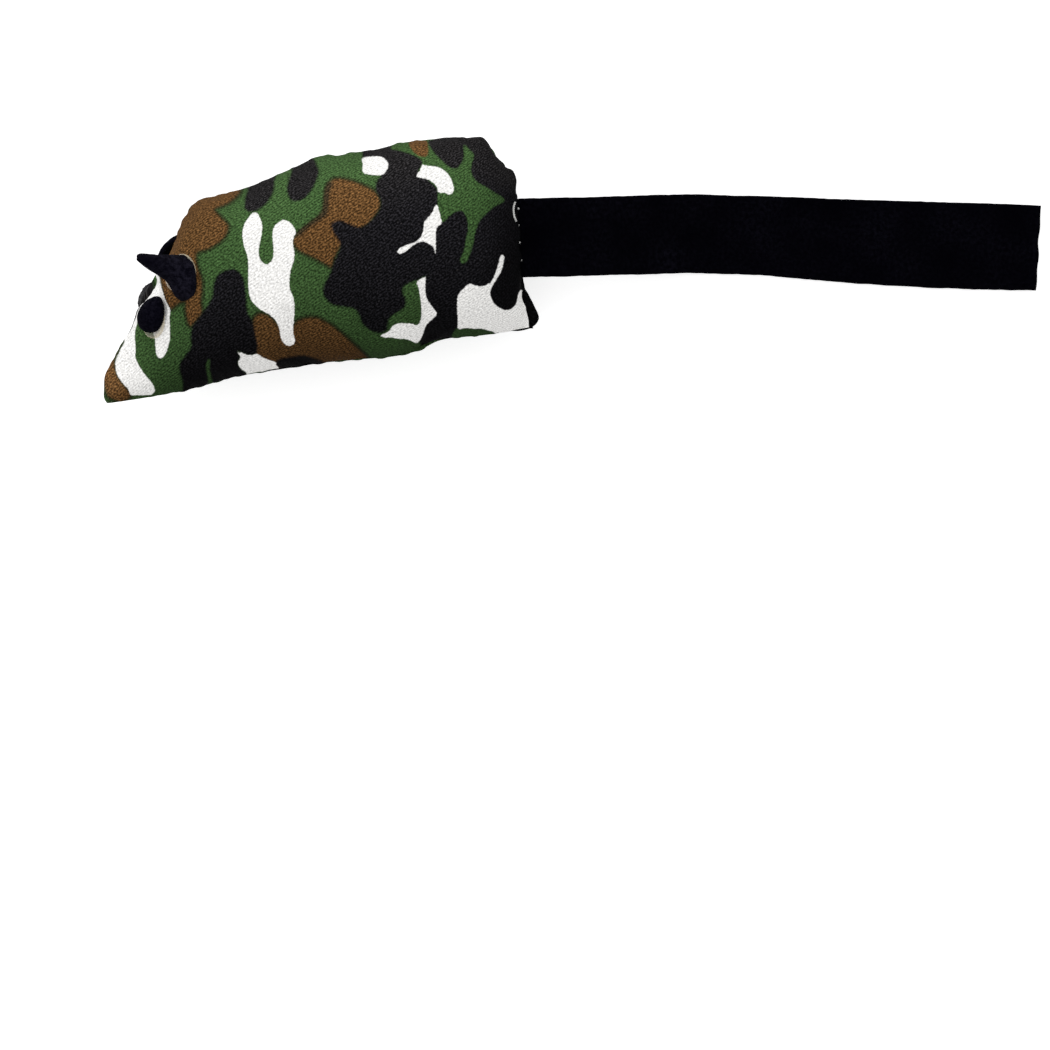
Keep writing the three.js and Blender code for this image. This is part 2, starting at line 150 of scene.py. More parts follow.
class Recipe:
    """Builds one node material."""

    def __init__(self, name):
        self.material = bpy.data.materials.new(name)
        self.material.use_nodes = True
        self.tree = self.material.node_tree
        self.tree.nodes.clear()

    def node(self, kind, inputs=(), **settings):
        made = self.tree.nodes.new("ShaderNode" + kind)
        for key, value in settings.items():
            setattr(made, key, value)
        for key, value in dict(inputs).items():
            if isinstance(value, bpy.types.NodeSocket):
                self.tree.links.new(value, made.inputs[key])
            else:
                made.inputs[key].default_value = value
        return made

    def math(self, operation, a, b=0.0, c=0.0):
        return self.node("Math", {0: a, 1: b, 2: c}, operation=operation).outputs[0]

    def plus(self, a, b):
        return self.math("ADD", a, b)

    def minus(self, a, b):
        return self.math("SUBTRACT", a, b)

    def times(self, a, b, then_plus=None):
        if then_plus is None:
            return self.math("MULTIPLY", a, b)
        return self.math("MULTIPLY_ADD", a, b, then_plus)

    def place(self):
        return self.node("TexCoord").outputs["Object"]

    def attribute(self, name, output="Fac"):
        return self.node("Attribute", attribute_name=name).outputs[output]

    def noise(self, vector, scale, detail=2.0, output="Fac"):
        inputs = {"Vector": vector, "Scale": scale, "Detail": detail}
        return self.node("TexNoise", inputs).outputs[output]

    def centred_noise(self, vector, scale, size, detail=2.0):
        """Noise from about -size/2 to size/2."""
        raw = self.noise(vector, scale, detail)
        return self.times(self.minus(raw, 0.5), size)

    def run(self, vector, way, scale):
        """How far each place lies along a direction given as an angle, scaled."""
        inputs = {0: vector, 1: (math.cos(way) * scale, math.sin(way) * scale, 0)}
        return self.node("VectorMath", inputs, operation="DOT_PRODUCT").outputs["Value"]

    def wave(self, vector, way, pitch):
        """A cosine along a direction, from -1 to 1."""
        return self.math("COSINE", self.run(vector, way, 2 * math.pi / pitch))

    def turned(self, vector, way, across, along):
        """Coordinates across and along the lines whose normal points that way, scaled."""
        parts = {0: self.run(vector, way, across), 1: self.run(vector, way + math.pi / 2, along)}
        return self.node("CombineXYZ", parts).outputs[0]

    def ramp(self, value, low, high):
        """0 below low and 1 above high."""
        inputs = {"Value": value, "From Min": low, "From Max": high}
        return self.node("MapRange", inputs, interpolation_type="SMOOTHSTEP").outputs[0]

    def fall(self, value, low, high):
        """1 below low and 0 above high."""
        return self.minus(1.0, self.ramp(value, low, high))

    def scale_to(self, value, **ends):
        """A straight change of range, from 0 and 1 unless it says otherwise."""
        inputs = {"Value": value, **{key.replace("_", " "): end for key, end in ends.items()}}
        return self.node("MapRange", inputs).outputs[0]

    def mix(self, share, under, over, blend_type="MIX"):
        """A colour between two, each of them three numbers or another node's output."""
        inputs = {0: share, 6: under, 7: over}
        for key in (6, 7):
            if isinstance(inputs[key], tuple):
                inputs[key] = (*inputs[key], 1)
        return self.node("Mix", inputs, data_type="RGBA", blend_type=blend_type).outputs[2]

    def bump(self, height, distance, strength=1.0):
        inputs = {"Height": height, "Distance": distance, "Strength": strength}
        return self.node("Bump", inputs).outputs[0]

    def finish(self, inputs):
        shader = self.node("BsdfPrincipled", inputs)
        end = self.node("OutputMaterial", {"Surface": shader.outputs[0]})
        end.is_active_output = True
        return self.material


# Print colours
green = (0.047, 0.097, 0.031)
green_low = (0.041, 0.087, 0.027)
brown = (0.112, 0.055, 0.019)
band_brown = (0.030, 0.022, 0.012)
black = (0.0088, 0.0084, 0.0100)
white = (0.89, 0.881, 0.861)
edge_dark = (0.020, 0.022, 0.010)
bare_yarn = (0.30, 0.26, 0.19)

# Each layer's ink and how soft its edge is, in millimetres
print_layers = (
    ("brown", brown, 0.30),
    ("band", band_brown, 0.60),
    ("black", black, 0.46),
    ("green_over", green_low, 0.30),
    ("brown_over", brown, 0.30),
    ("white", white, 0.15),
)
twill_pitch = 0.667
counter_pitch = 0.70
yarn_pitch = 0.69
twill_way = 127 * degree
counter_way = 68 * degree
yarn_way = 5 * degree
# Speckle is strongest on inks darker than this lightness.
speckle_base = 0.12
# How much the ribs, the yarns and fine flecks lighten and darken the ink, and the darkest it gets
rib_grain = 0.42
counter_grain = 0.08
strand_grain = 6.1
fleck_grain = 4.9
darkest_grain = 0.38
# Painted shade: inks are darker away from the crown, towards the seams and the belly, by up to this
# share.
seam_shade_share = 0.45


def printed_cloth():
    """Twill with the camouflage printed on it. Its coordinates are millimetres on the cloth."""
    r = Recipe("printed_twill")
    flat = r.attribute("cloth", "Vector")
    drift = r.noise(flat, 0.22, output="Color")
    drift = r.node("VectorMath", {0: drift, "Scale": 0.9}, operation="SCALE").outputs[0]
    warped = r.node("VectorMath", {0: flat, 1: drift}, operation="ADD").outputs[0]
    rib = r.wave(warped, twill_way, twill_pitch)
    counter = r.wave(warped, counter_way, counter_pitch)
    yarn = r.wave(warped, yarn_way, yarn_pitch)
    lattice = r.plus(r.times(rib, 0.6), r.times(counter, 0.15))
    strand = r.noise(r.turned(warped, twill_way, 2.9, 1.5), 1.0, 2.0)
    height = r.plus(lattice, r.times(yarn, 0.3))
    height = r.plus(height, r.centred_noise(flat, 1.5, 1.5, 3.0))

    # The print's edges follow the yarns a little.
    ragged = r.plus(r.centred_noise(flat, 1.4, 0.4, 3.0), r.times(lattice, 0.06))
    ragged = r.times(ragged, r.scale_to(r.attribute("crown"), From_Max=0.6, To_Min=0.3))
    colour = r.mix(r.noise(flat, 0.09, 1.0), green_low, green)
    for layer, ink, softness in print_layers:
        distance = r.plus(r.attribute(layer), ragged)
        cover = r.fall(distance, -softness, softness)
        colour = r.mix(cover, colour, ink)
        if layer == "brown":
            from_edge = r.math("ABSOLUTE", r.minus(distance, 0.1))
            line = r.fall(from_edge, 0.1, 0.85)
            colour = r.mix(r.times(line, 0.72), colour, edge_dark)
    # Ink thins on some yarns, which shows on the dark inks and hardly on the white.
    worn = r.ramp(r.noise(flat, 2.6, 3.0), 0.6, 0.82)
    lightness = r.node("RGBToBW", {0: colour}).outputs[0]
    contrast = r.math("DIVIDE", speckle_base, r.plus(lightness, speckle_base))
    # More bare yarn shows towards the back, so the cloth is lighter there.
    back_yarn = r.times(r.ramp(r.attribute("back"), 0.55, 0.95), 0.016)
    worn = r.times(worn, 0.08, back_yarn)
    colour = r.mix(r.times(worn, contrast), colour, bare_yarn)
    grain = r.plus(r.times(rib, rib_grain), r.times(counter, counter_grain))
    grain = r.plus(grain, r.times(r.minus(strand, 0.5), strand_grain))
    grain = r.plus(grain, r.centred_noise(flat, 2.3, fleck_grain))
    # The yarns stand out more in the brown and the black ink and on the white.
    channels = r.node("SeparateColor", {0: colour}).outputs
    brownness = r.ramp(r.minus(channels[0], channels[1]), 0.015, 0.045)
    blackness = r.fall(lightness, 0.012, 0.04)
    strength = r.times(blackness, 0.6, 0.94)
    strength = r.times(brownness, 0.4, strength)
    strength = r.times(r.ramp(lightness, 0.3, 0.8), 0.7, strength)
    grain = r.times(grain, strength)
    shade = r.math("MAXIMUM", r.times(grain, contrast, 1.0), darkest_grain)
    # Painted light and shade: the inks are lighter on the crown and along the back, and darker towards
    # the seams and the belly.
    full = r.fall(r.attribute("crown"), 0.1, 0.95)
    inked = r.times(contrast, r.fall(lightness, 0.15, 0.7))
    shade = r.times(shade, r.times(r.times(full, inked), -seam_shade_share, 1.0))
    # Painted light along the back and painted shade towards the belly.
    back_light_shade = r.scale_to(r.attribute("back"), To_Min=-0.7, To_Max=0.56)
    shade = r.times(shade, r.times(back_light_shade, inked, 1.0))
    fade = r.scale_to(r.noise(flat, 0.12), To_Min=-0.12, To_Max=0.1)
    shade = r.times(shade, r.times(fade, contrast, 1.0))
    grey = r.node("CombineColor", {0: shade, 1: shade, 2: shade}).outputs[0]
    colour = r.mix(1.0, colour, grey, "MULTIPLY")
    return r.finish({
        "Base Color": colour,
        "Roughness": 0.9,
        "Specular IOR Level": 0.015,
        "Normal": r.bump(height, 0.03 * mm, 0.8),
    })


def fibre_material(name, dark, light, scale, bump_distance, sheen):
    """Matted fibre: fine noise at two scales, lighter where a fibre stands up."""
    r = Recipe(name)
    place = r.place()
    tuft = r.noise(place, scale, 4.0)
    strand = r.noise(place, scale * 3.1)
    height = r.plus(tuft, r.times(strand, 0.6))
    share = r.times(r.ramp(height, 0.56, 1.2), r.ramp(r.noise(place, scale * 0.06), 0.2, 0.8))
    return r.finish({
        "Base Color": r.mix(share, dark, light),
        "Roughness": 0.95,
        "Specular IOR Level": 0.01,
        "Sheen Weight": sheen,
        "Sheen Roughness": 0.6,
        "Normal": r.bump(height, bump_distance, 0.9),
    })


def glue_material():
    r = Recipe("clear_glue")
    place = r.place()
    # The glue is more opaque towards its rim, and its pale cream there is a painted highlight along
    # the edge; the darker middle lets the cloth show.
    milky_and_highlight = r.plus(r.attribute("rim"), r.centred_noise(place, 700.0, 0.25))
    colour = r.mix(r.ramp(milky_and_highlight, 0.84, 0.97), (0.50, 0.46, 0.38), (0.88, 0.77, 0.55))
    return r.finish({
        "Base Color": colour,
        "Roughness": 0.16,
        "IOR": 1.48,
        "Alpha": r.scale_to(milky_and_highlight, From_Min=0.7, From_Max=0.97, To_Min=0.2, To_Max=0.45),
        "Normal": r.bump(r.noise(place, 350.0), 0.04 * mm, 0.4),
    })


cloth_material = printed_cloth()
felt_material = fibre_material(
    "black_felt", (0.0003, 0.0002, 0.001), (0.0040, 0.0037, 0.0066), 1200.0, 0.08 * mm, 0.002)
ear_material = fibre_material(
    "ear_felt", (0.0011, 0.0009, 0.0030), (0.0170, 0.0158, 0.0270), 1000.0, 0.10 * mm, 0.010)
flock_material = fibre_material(
    "black_flock", (0.0006, 0.0005, 0.0022), (0.0108, 0.0099, 0.0178), 1600.0, 0.12 * mm, 0.005)
# A pale grey copy of the black flock for the far eye: painted light on its fuzz.
lit_flock_material = fibre_material(
    "lit_flock", (0.012, 0.011, 0.014), (0.11, 0.11, 0.105), 1600.0, 0.12 * mm, 0.02)
filling_material = fibre_material(
    "white_fibre", (0.72, 0.70, 0.66), (0.9, 0.89, 0.86), 900.0, 0.15 * mm, 0.1)
thread_material = fibre_material(
    "white_thread", (0.55, 0.55, 0.53), (0.86, 0.86, 0.85), 2600.0, 0.04 * mm, 0.1)
pad_material = glue_material()


# Meshes

def make_piece(name, points, faces, material):
    mesh = bpy.data.meshes.new(name)
    mesh.from_pydata(np.asarray(points).reshape(-1, 3).tolist(), [], faces)
    mesh.validate()
    mesh.shade_smooth()
    mesh.materials.append(material)
    piece = bpy.data.objects.new(name, mesh)
    bpy.context.collection.objects.link(piece)
    return piece


def write_values(piece, name, values):
    """A number or a vector for every point of the piece, for its material."""
    kind, part = ("FLOAT", "value") if values.ndim == 1 else ("FLOAT_VECTOR", "vector")
    data = piece.data.attributes.new(name, kind, "POINT").data
    data.foreach_set(part, values.astype(np.float32).reshape(-1))


def take_place(piece, slot, *nodes):
    """A piece of the body and the nodes that it stands for. The finish that it is given is not used.
    """
    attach(piece, "mouse_body")
    if nodes:
        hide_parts(*nodes)


def grid_faces(rows, columns, first=0):
    """Quads over a grid of points, their normal along rows cross columns."""
    faces = []
    for i in range(rows - 1):
        for j in range(columns - 1):
            a = first + i * columns + j
            faces.append((a, a + columns, a + columns + 1, a + 1))
    return faces


def rim_indices(rows, columns):
    """The grid's outer ring, all the way round."""
    last_row, last_column = rows - 1, columns - 1
    ring = [i * columns for i in range(last_row)]
    ring += [last_row * columns + j for j in range(last_column)]
    ring += [i * columns + last_column for i in range(last_row, 0, -1)]
    return ring + list(range(last_column, 0, -1))


def bridge(upper, lower):
    """Quads between two rings of equally many points."""
    count = len(upper)
    return [
        (upper[m], lower[m], lower[(m + 1) % count], upper[(m + 1) % count]) for m in range(count)
    ]


def fan_bridge(fine, coarse, step):
    """Triangles between a fine ring and one with a point for every so many of it."""
    faces = []
    turn = (step + 1) // 2
    for c, corner in enumerate(coarse):
        following = coarse[(c + 1) % len(coarse)]
        for k in range(step):
            m = c * step + k
            apex = corner if k < turn else following
            faces.append((fine[m], apex, fine[(m + 1) % len(fine)]))
        faces.append((fine[c * step + turn], corner, following))
    return faces


def grid_normals(points):
    along = np.gradient(points, axis=0)
    across = np.gradient(points, axis=1)
    normals = np.cross(along, across)
    return normals / np.maximum(length_of(normals), tiny)[..., None]


def refined(coarse, rows, columns):
    """A coarse grid's values on a finer grid."""
    def line(values, count):
        spot = np.linspace(0, len(values) - 1, count)
        first = np.minimum(spot.astype(int), len(values) - 2)
        share = (spot - first).reshape(-1, *[1] * (values.ndim - 1))
        return values[first] * (1 - share) + values[first + 1] * share
    half_done = line(coarse, rows)
    return np.swapaxes(line(np.swapaxes(half_done, 0, 1), columns), 0, 1)


# The body's loft, as in the solids

body_length = 105 * mm
body_height = 48 * mm
belly_shares = [
    (0.006, 0), (0.067, -0.005), (0.114, -0.006), (0.167, -0.004), (0.214, 0), (0.262, 0.008),
    (0.32, 0.015), (0.42, 0.012), (0.51, 0.002), (0.6, -0.015), (0.69, -0.024), (0.77, 0.008),
    (0.88, -0.008), (0.925, -0.01), (0.953, -0.009), (0.977, -0.008),
]
back_shares = [
    (0.012, 0.142), (0.071, 0.288), (0.117, 0.435), (0.165, 0.573), (0.212, 0.682), (0.25, 0.83),
    (0.29, 0.905), (0.4, 0.925), (0.52, 0.98), (0.594, 1.017), (0.69, 0.995), (0.79, 1.002),
    (0.9, 0.975), (0.952, 0.955), (0.976, 0.855), (1.008, 0.765),
]
nose_rounding = 6 * mm
rear_rounding = 16 * mm
near_half = {"side": 1, "swell": 19 * mm, "crown": 2.5}
far_half = {"side": -1, "swell": 17 * mm, "crown": 3}


def seam_line(shares, along):
    """A centripetal Catmull-Rom curve through the shares."""
    knots = np.array(shares) * (body_length, body_height)
    knots = np.vstack([2 * knots[0] - knots[1], knots, 2 * knots[-1] - knots[-2]])
    spot = np.clip(along, 0, 1) * (len(shares) - 1)
    first = np.minimum(spot.astype(int), len(shares) - 2)
    t = (spot - first)[:, None]
    p0, p1, p2, p3 = (knots[first + k] for k in range(4))
    d0, d1, d2 = (length_of(b - a)[:, None] ** 0.5 for a, b in ((p0, p1), (p1, p2), (p2, p3)))
    leave = ((p1 - p0) / d0 - (p2 - p0) / (d0 + d1) + (p2 - p1) / d1) * d1
    arrive = ((p2 - p1) / d1 - (p3 - p1) / (d1 + d2) + (p3 - p2) / d2) * d1
    bend = 3 * (p2 - p1) - 2 * leave - arrive
    return p1 + leave * t + bend * t**2 + (2 * (p1 - p2) + leave + arrive) * t**3


section_ends = np.array([0.0, 1.0])
end_middles = (seam_line(belly_shares, section_ends) + seam_line(back_shares, section_ends)) / 2
rear_edge = (seam_line(belly_shares, section_ends)[1], seam_line(back_shares, section_ends)[1])
tail_place_share = 0.57
tail_seat = rear_edge[0] + (rear_edge[1] - rear_edge[0]) * tail_place_share


def half_surface(half, along, across):
    """One half's outside on a grid of along and across shares, in the body's frame."""
    belly = seam_line(belly_shares, along)[:, None, :]
    back = seam_line(back_shares, along)[:, None, :]
    middle_x = (belly[..., 0] + back[..., 0]) / 2
    height = length_of(back - belly)
    across = across[None, :]
    crown = np.sqrt(np.maximum(0, 1 - np.abs(2 * across - 1) ** half["crown"]))
    nose = quarter_round(middle_x - end_middles[0][0], nose_rounding)
    rear = quarter_round(end_middles[1][0] - middle_x, rear_rounding)
    level = half["swell"] * np.minimum(1, height / body_height) * nose * rear * crown
    plane = belly + (back - belly) * across[..., None]
    return np.concatenate([plane, level[..., None]], axis=-1)


# Print outlines on the near side, in the photograph's pixels

brown_head = [
    (240, 186), (229, 202), (216, 209), (217, 213), (224, 220), (229, 226), (228, 234), (222, 242),
    (210, 250), (199, 254), (199, 266), (203, 278), (204, 290), (203, 301), (204, 311), (202, 316),
    (192, 326), (188, 321), (187, 309), (187, 302), (180, 304), (171, 309), (166, 301), (163, 290),
    (161, 278), (158, 268), (160, 256), (166, 244), (165, 225), (180, 200), (205, 185),
]
brown_nose = [
    (124, 339), (120, 350), (117, 358), (116, 364), (117, 373), (122, 382), (128, 389), (131, 395),
    (128, 400), (118, 401), (109, 398), (106, 392), (104, 384), (103, 375), (108, 366), (112, 358),
    (117, 347),
]
brown_mid = [
    (328, 184), (334, 179), (343, 179), (354, 182), (365, 187), (375, 193), (380, 201), (380, 209),
    (375, 217), (368, 225), (360, 230), (350, 235), (342, 245), (340, 249), (335, 258), (332, 268),
    (326, 265), (313, 258), (300, 252), (295, 247), (293, 242), (295, 237), (302, 230), (313, 222),
    (322, 214), (324, 204), (325, 191),
]
brown_lower = [
    (253, 320), (256, 315), (260, 313), (267, 314), (274, 319), (280, 326), (290, 330), (293, 327),
    (298, 321), (307, 317), (316, 317), (326, 321), (336, 328), (347, 338), (357, 348), (367, 357),
    (372, 364), (340, 368), (300, 372), (275, 368), (258, 360), (255, 345), (252, 330),
]
dark_band = [
    (328, 183), (325, 191), (324, 204), (321, 214), (312, 222), (301, 230), (296, 236), (299, 238),
    (305, 232), (316, 224), (327, 216), (329, 204), (330, 192), (333, 184),
]
black_front = [
    (233, 269), (241, 273), (245, 281), (247, 296), (248, 311), (253, 321), (256, 335), (258, 346),
    (256, 353), (249, 355), (243, 353), (239, 352), (241, 359), (238, 364), (241, 370), (247, 376),
    (240, 392), (185, 400), (183, 382), (180, 372), (180, 363), (185, 356), (191, 346), (191, 335),
    (194, 325), (201, 316), (209, 305), (214, 295), (215, 284), (220, 274),
]
black_oval_one = [
    (251, 182), (275, 172), (275, 182), (274, 192), (268, 203), (261, 209), (252, 212), (245, 208),
    (244, 200), (245, 192),
]
black_oval_two = [
    (300, 158), (313, 158), (317, 165), (319, 173), (313, 188), (305, 199), (295, 202), (290, 199),
    (287, 189), (291, 172), (292, 164),
]
black_belly = [
    (275, 363), (279, 359), (286, 358), (298, 358), (309, 359), (322, 362), (322, 366), (300, 372),
    (284, 370), (278, 367),
]
black_big = [
    (362, 150), (364, 140), (400, 128), (470, 122), (530, 122), (530, 200), (540, 330), (520, 340),
    (500, 333), (455, 345), (452, 350), (425, 352), (421, 346), (419, 340), (421, 330), (427, 318),
    (426, 306), (421, 292), (421, 282), (425, 277), (418, 280), (412, 282), (404, 286), (402, 292),
    (405, 298), (405, 306), (399, 311), (391, 316), (388, 322), (387, 329), (381, 333), (370, 331),
    (362, 325), (359, 316), (354, 309), (345, 307), (332, 304), (325, 297), (323, 289), (326, 281),
    (331, 271), (335, 260), (340, 249), (340, 243), (334, 234), (331, 226), (333, 223), (340, 221),
    (346, 223), (353, 226), (360, 228), (367, 225), (375, 217), (380, 209), (380, 201), (375, 191),
    (376, 182), (380, 175), (376, 172), (366, 170), (363, 160),
]
green_slit = [
    (208, 360), (210, 361), (210, 370), (213, 382), (216, 390), (207, 390), (208, 380), (206, 368),
]
green_star = [
    (463, 147), (469, 152), (473, 157), (471, 165), (471, 173), (477, 182), (486, 187), (495, 194),
    (503, 201), (494, 207), (486, 214), (479, 221), (474, 233), (472, 244), (468, 256), (464, 263),
    (459, 261), (463, 251), (465, 239), (467, 229), (466, 219), (463, 213), (458, 211), (450, 215),
    (442, 223), (439, 218), (437, 206), (437, 195), (436, 189), (425, 178), (418, 172), (422, 165),
    (421, 160), (415, 156), (407, 153), (396, 150), (391, 148), (395, 142), (410, 136), (428, 136),
    (428, 143), (432, 151), (439, 159), (448, 167), (455, 169), (460, 165), (463, 158),
]
green_belly = [
    (454, 331), (456, 328), (465, 327), (474, 328), (483, 329), (493, 332), (500, 333), (498, 342),
    (455, 345), (452, 336),
]
brown_spot = [
    (409, 143), (411, 149), (417, 155), (424, 157), (428, 154), (427, 141), (424, 134), (412, 134),
]
white_front = [
    (157, 272), (161, 278), (163, 290), (167, 301), (171, 309), (171, 318), (171, 330), (170, 341),
    (166, 353), (161, 358), (157, 355), (156, 346), (156, 339), (154, 330), (150, 318), (144, 314),
    (140, 317), (138, 324), (136, 332), (136, 346), (136, 357), (140, 366), (145, 374), (152, 382),
    (155, 388), (154, 391), (149, 394), (138, 395), (131, 395), (128, 389), (122, 382), (117, 373),
    (116.5, 364), (118.5, 358), (122, 350), (125.5, 341), (123, 332), (128, 316), (138, 298),
    (150, 278),
]
white_fork = [
    (254.5, 212), (258.5, 214), (261, 219), (263, 227), (261.5, 239), (259, 252), (261, 260),
    (267, 265), (273, 260),
    (274, 249), (273, 236), (275, 226), (284, 220), (292, 225), (296, 233), (293, 242), (295, 254),
    (294, 262), (291, 271), (290, 287), (294, 298), (295, 309), (294, 322), (293, 333), (295, 343),
    (291, 347), (285, 345), (281, 338), (279, 327), (275, 319), (268, 313), (259, 308), (251, 298),
    (249, 285), (249, 271), (248.5, 258), (245, 247), (243.2, 235), (244.5, 226),
    (247.5, 218.5), (250.5, 214.5),
]
white_belly_front = [
    (239, 352), (249, 355), (258, 353), (262, 356), (269, 359), (276, 362), (276, 365), (279, 369),
    (276, 376), (246, 380), (247, 374), (241, 370), (238, 364), (241, 359),
]
white_spot = [
    (362, 155), (373, 155), (382, 156), (388, 162), (388, 168), (383, 173), (376, 175), (368, 175),
    (362, 172), (362, 163),
]
white_crescent = [
    (422, 165), (427, 166), (436, 167), (444, 171), (450, 179), (453, 187), (452, 193), (449, 195),
    (444, 193), (438, 193), (436, 187), (431, 182), (424, 179), (416, 177), (420, 171),
]
white_branch = [
    (436, 205), (440, 219), (441, 224), (436, 228), (435, 236), (435, 254), (432, 247), (426, 243),
    (420, 242), (412, 246), (405, 252), (399, 254), (397, 251), (402, 247), (413, 243), (420, 238),
    (423, 230), (424, 222), (431, 214),
]
white_lower = [
    (425, 277), (425, 285), (426, 298), (432, 308), (437, 314), (434, 319), (426, 327), (423, 335),
    (420, 342), (416, 344), (409, 341), (401, 339), (391, 337), (385, 337), (381, 335), (387, 332),
    (390, 329), (393, 325), (398, 323), (405, 323), (411, 324), (416, 326), (420, 323), (421, 318),
    (421, 310), (420, 299), (418, 287), (416, 282), (421, 279),
]
white_rear = [
    (457, 299), (458, 294), (463, 288), (468, 283), (474, 285), (480, 286), (487, 284), (491, 281),
    (494, 274), (497, 265), (499, 257), (501, 255), (503, 257), (502, 264), (500, 271), (495, 280),
    (491, 288), (490, 294), (493, 302), (498, 307), (505, 310), (511, 309), (516, 304), (517.5, 299),
    (519.5, 292.5), (526, 290), (540, 322), (528, 334), (505, 336), (500, 333), (493, 332), (483, 329),
    (474, 328), (465, 327), (458, 328), (458, 320), (457, 308),
]
near_patches = {
    "brown": [brown_head, brown_nose, brown_mid, brown_lower],
    "band": [dark_band],
    "black": [black_front, black_oval_one, black_oval_two, black_belly, black_big],
    "green_over": [green_slit, green_star, green_belly],
    "brown_over": [brown_spot],
    "white": [
        white_front, white_fork, white_belly_front, white_spot, white_crescent, white_branch,
        white_lower, white_rear,
    ],
}

# Patches on the far side, which the photograph doesn't show: x, y, length, width in millimetres
# in the body's plane, turn in degrees
far_patches = {
    "brown": [
        (5, 7, 13, 8, 45), (22, 14, 18, 12, 30), (42, 36, 28, 15, -20), (62, 12, 32, 14, 15),
        (88, 36, 26, 15, 40), (101, 13, 9, 7, 0),
    ],
    "band": [(38, 31, 20, 5, -20)],
    "black": [
        (13.5, 22, 17, 6, 54), (13, 3, 12, 6, 20), (34, 15, 17, 24, 20), (66, 38, 30, 15, -15),
        (84, 14, 26, 17, -50), (103, 4, 12, 15, 20), (102, 30, 14, 22, 10), (50, 3, 22, 7, 0),
    ],
    "green_over": [(67, 40, 12, 5, 10), (86, 12, 12, 6, -40), (69, 1, 9, 4, 0)],
    "brown_over": [(36, 16, 5, 8, 10)],
    "white": [
        (26, 24, 22, 5, 70), (48, 24, 24, 5, -60), (54, 18, 18, 5, 20), (78, 28, 24, 5, 50),
        (16, 6, 12, 4, -20), (94, 18, 20, 5, -80), (60, 46, 12, 4, 5), (90, 44, 12, 5, 30),
    ],
}


def curve_through(corners, per_corner, closed=True):
    """A Catmull-Rom curve through the corners."""
    knots = np.array(corners, float)
    if closed:
        p0, p1, p2, p3 = (np.roll(knots, shift, axis=0) for shift in (1, 0, -1, -2))
    else:
        padded = np.vstack([2 * knots[0] - knots[1], knots, 2 * knots[-1] - knots[-2]])
        p0, p1, p2, p3 = padded[:-3], padded[1:-2], padded[2:-1], padded[3:]
    t = (np.arange(per_corner) / per_corner)[None, :, None]
    p0, p1, p2, p3 = (p[:, None, :] for p in (p0, p1, p2, p3))
    curve = 2 * p1 + (p2 - p0) * t + (2 * p0 - 5 * p1 + 4 * p2 - p3) * t**2
    curve = curve + (3 * p1 - p0 - 3 * p2 + p3) * t**3
    curve = (curve / 2).reshape(-1, knots.shape[1])
    return curve if closed else np.vstack([curve, knots[-1]])


def blob_outline(x, y, length, width, turn, seed):
    """An uneven oval patch."""
    corners = 14
    random = np.random.default_rng(seed)
    angles = 2 * math.pi * np.arange(corners) / corners
    reach = 0.5 + 0.09 * np.cos(2 * angles + random.uniform(0, 6)) + random.normal(0, 0.06, corners)
    flat_x, flat_y = reach * np.cos(angles) * length, reach * np.sin(angles) * width
    c, s = math.cos(turn * degree), math.sin(turn * degree)
    return np.stack([x + flat_x * c - flat_y * s, y + flat_x * s + flat_y * c], axis=-1)


def signed_distance(spots, outline):
    """From each spot to the closed outline, negative inside."""
    starts = curve_through(outline, 5)
    ends = np.roll(starts, -1, axis=0)
    nearest = np.full(len(spots), 1e9)
    inside = np.zeros(len(spots), bool)
    x, y = spots[:, 0], spots[:, 1]
    for (ax, ay), (bx, by) in zip(starts, ends):
        run_x, run_y = bx - ax, by - ay
        share = ((x - ax) * run_x + (y - ay) * run_y) / max(run_x**2 + run_y**2, tiny)
        share = np.clip(share, 0, 1)
        off = (x - ax - share * run_x) ** 2 + (y - ay - share * run_y) ** 2
        nearest = np.minimum(nearest, off)
        if ay != by:
            inside ^= ((ay > y) != (by > y)) & (x < run_x * (y - ay) / run_y + ax)
    return np.where(inside, -1, 1) * np.sqrt(nearest)


def layer_distances(half, body_points, pixels):
    """For each layer of the print, every point's distance to its patches in millimetres."""
    distances = {}
    seed = 0
    for layer, _, _ in print_layers:
        if half is near_half:
            spots, unit = pixels, 1000 / pixels_per_metre
            outlines = near_patches[layer]
        else:
            spots, unit = body_points[:, :2] / mm, 1
            outlines = []
            for patch in far_patches[layer]:
                seed += 1
                outlines.append(blob_outline(*patch, seed))
        each = [signed_distance(spots, outline) * unit for outline in outlines]
        distances[layer] = np.clip(np.min(each, axis=0), -9, 9)
    return distances


# The two cloth panels

station_count = 260
rib_count = 150
inner_step = 5
settle_step = 2
end_density_share = 0.6
cloth_thickness = 0.7 * mm
table_margin = 0.05 * mm
fold_level = 0.9 * mm
pocket_rise = 0.75 * mm
pocket_half_width = 9.6 * mm
pocket_end = 12.5 * mm
# How the edge rolls into the seam and runs on as its allowance: inset and level of each ring
seam_rings = ((0.10, 0.51), (0.39, 0.22), (0.78, 0.12), (4.5, 0.12), (4.5, 0.72), (1.3, 0.75))
inset_share_limit = 0.45
spine_from = 0.12
spine_to = 0.74
body_middle = np.array([52 * mm, 24 * mm])
# Lumps of the filling under the cloth: wavelength in millimetres, seed, height in millimetres
cloth_lumps = ((17, 3, 0.28), (7, 5, 0.09))
pucker_height = 0.26
# The seam holds the cloth: how far from it the cloth is free, and what moves at the seam itself
free_level = 2.5 * mm
held_lump_share = 0.35
held_settling_share = 0.25
# The simulation's broad swelling is mostly taken off again, and the stiff nose hardly moves.
settling_blur = 60
settling_kept_off = 0.8
settling_most = 0.7 * mm
stiff_nose = (4 * mm, 18 * mm)
table_softness = 0.25 * mm

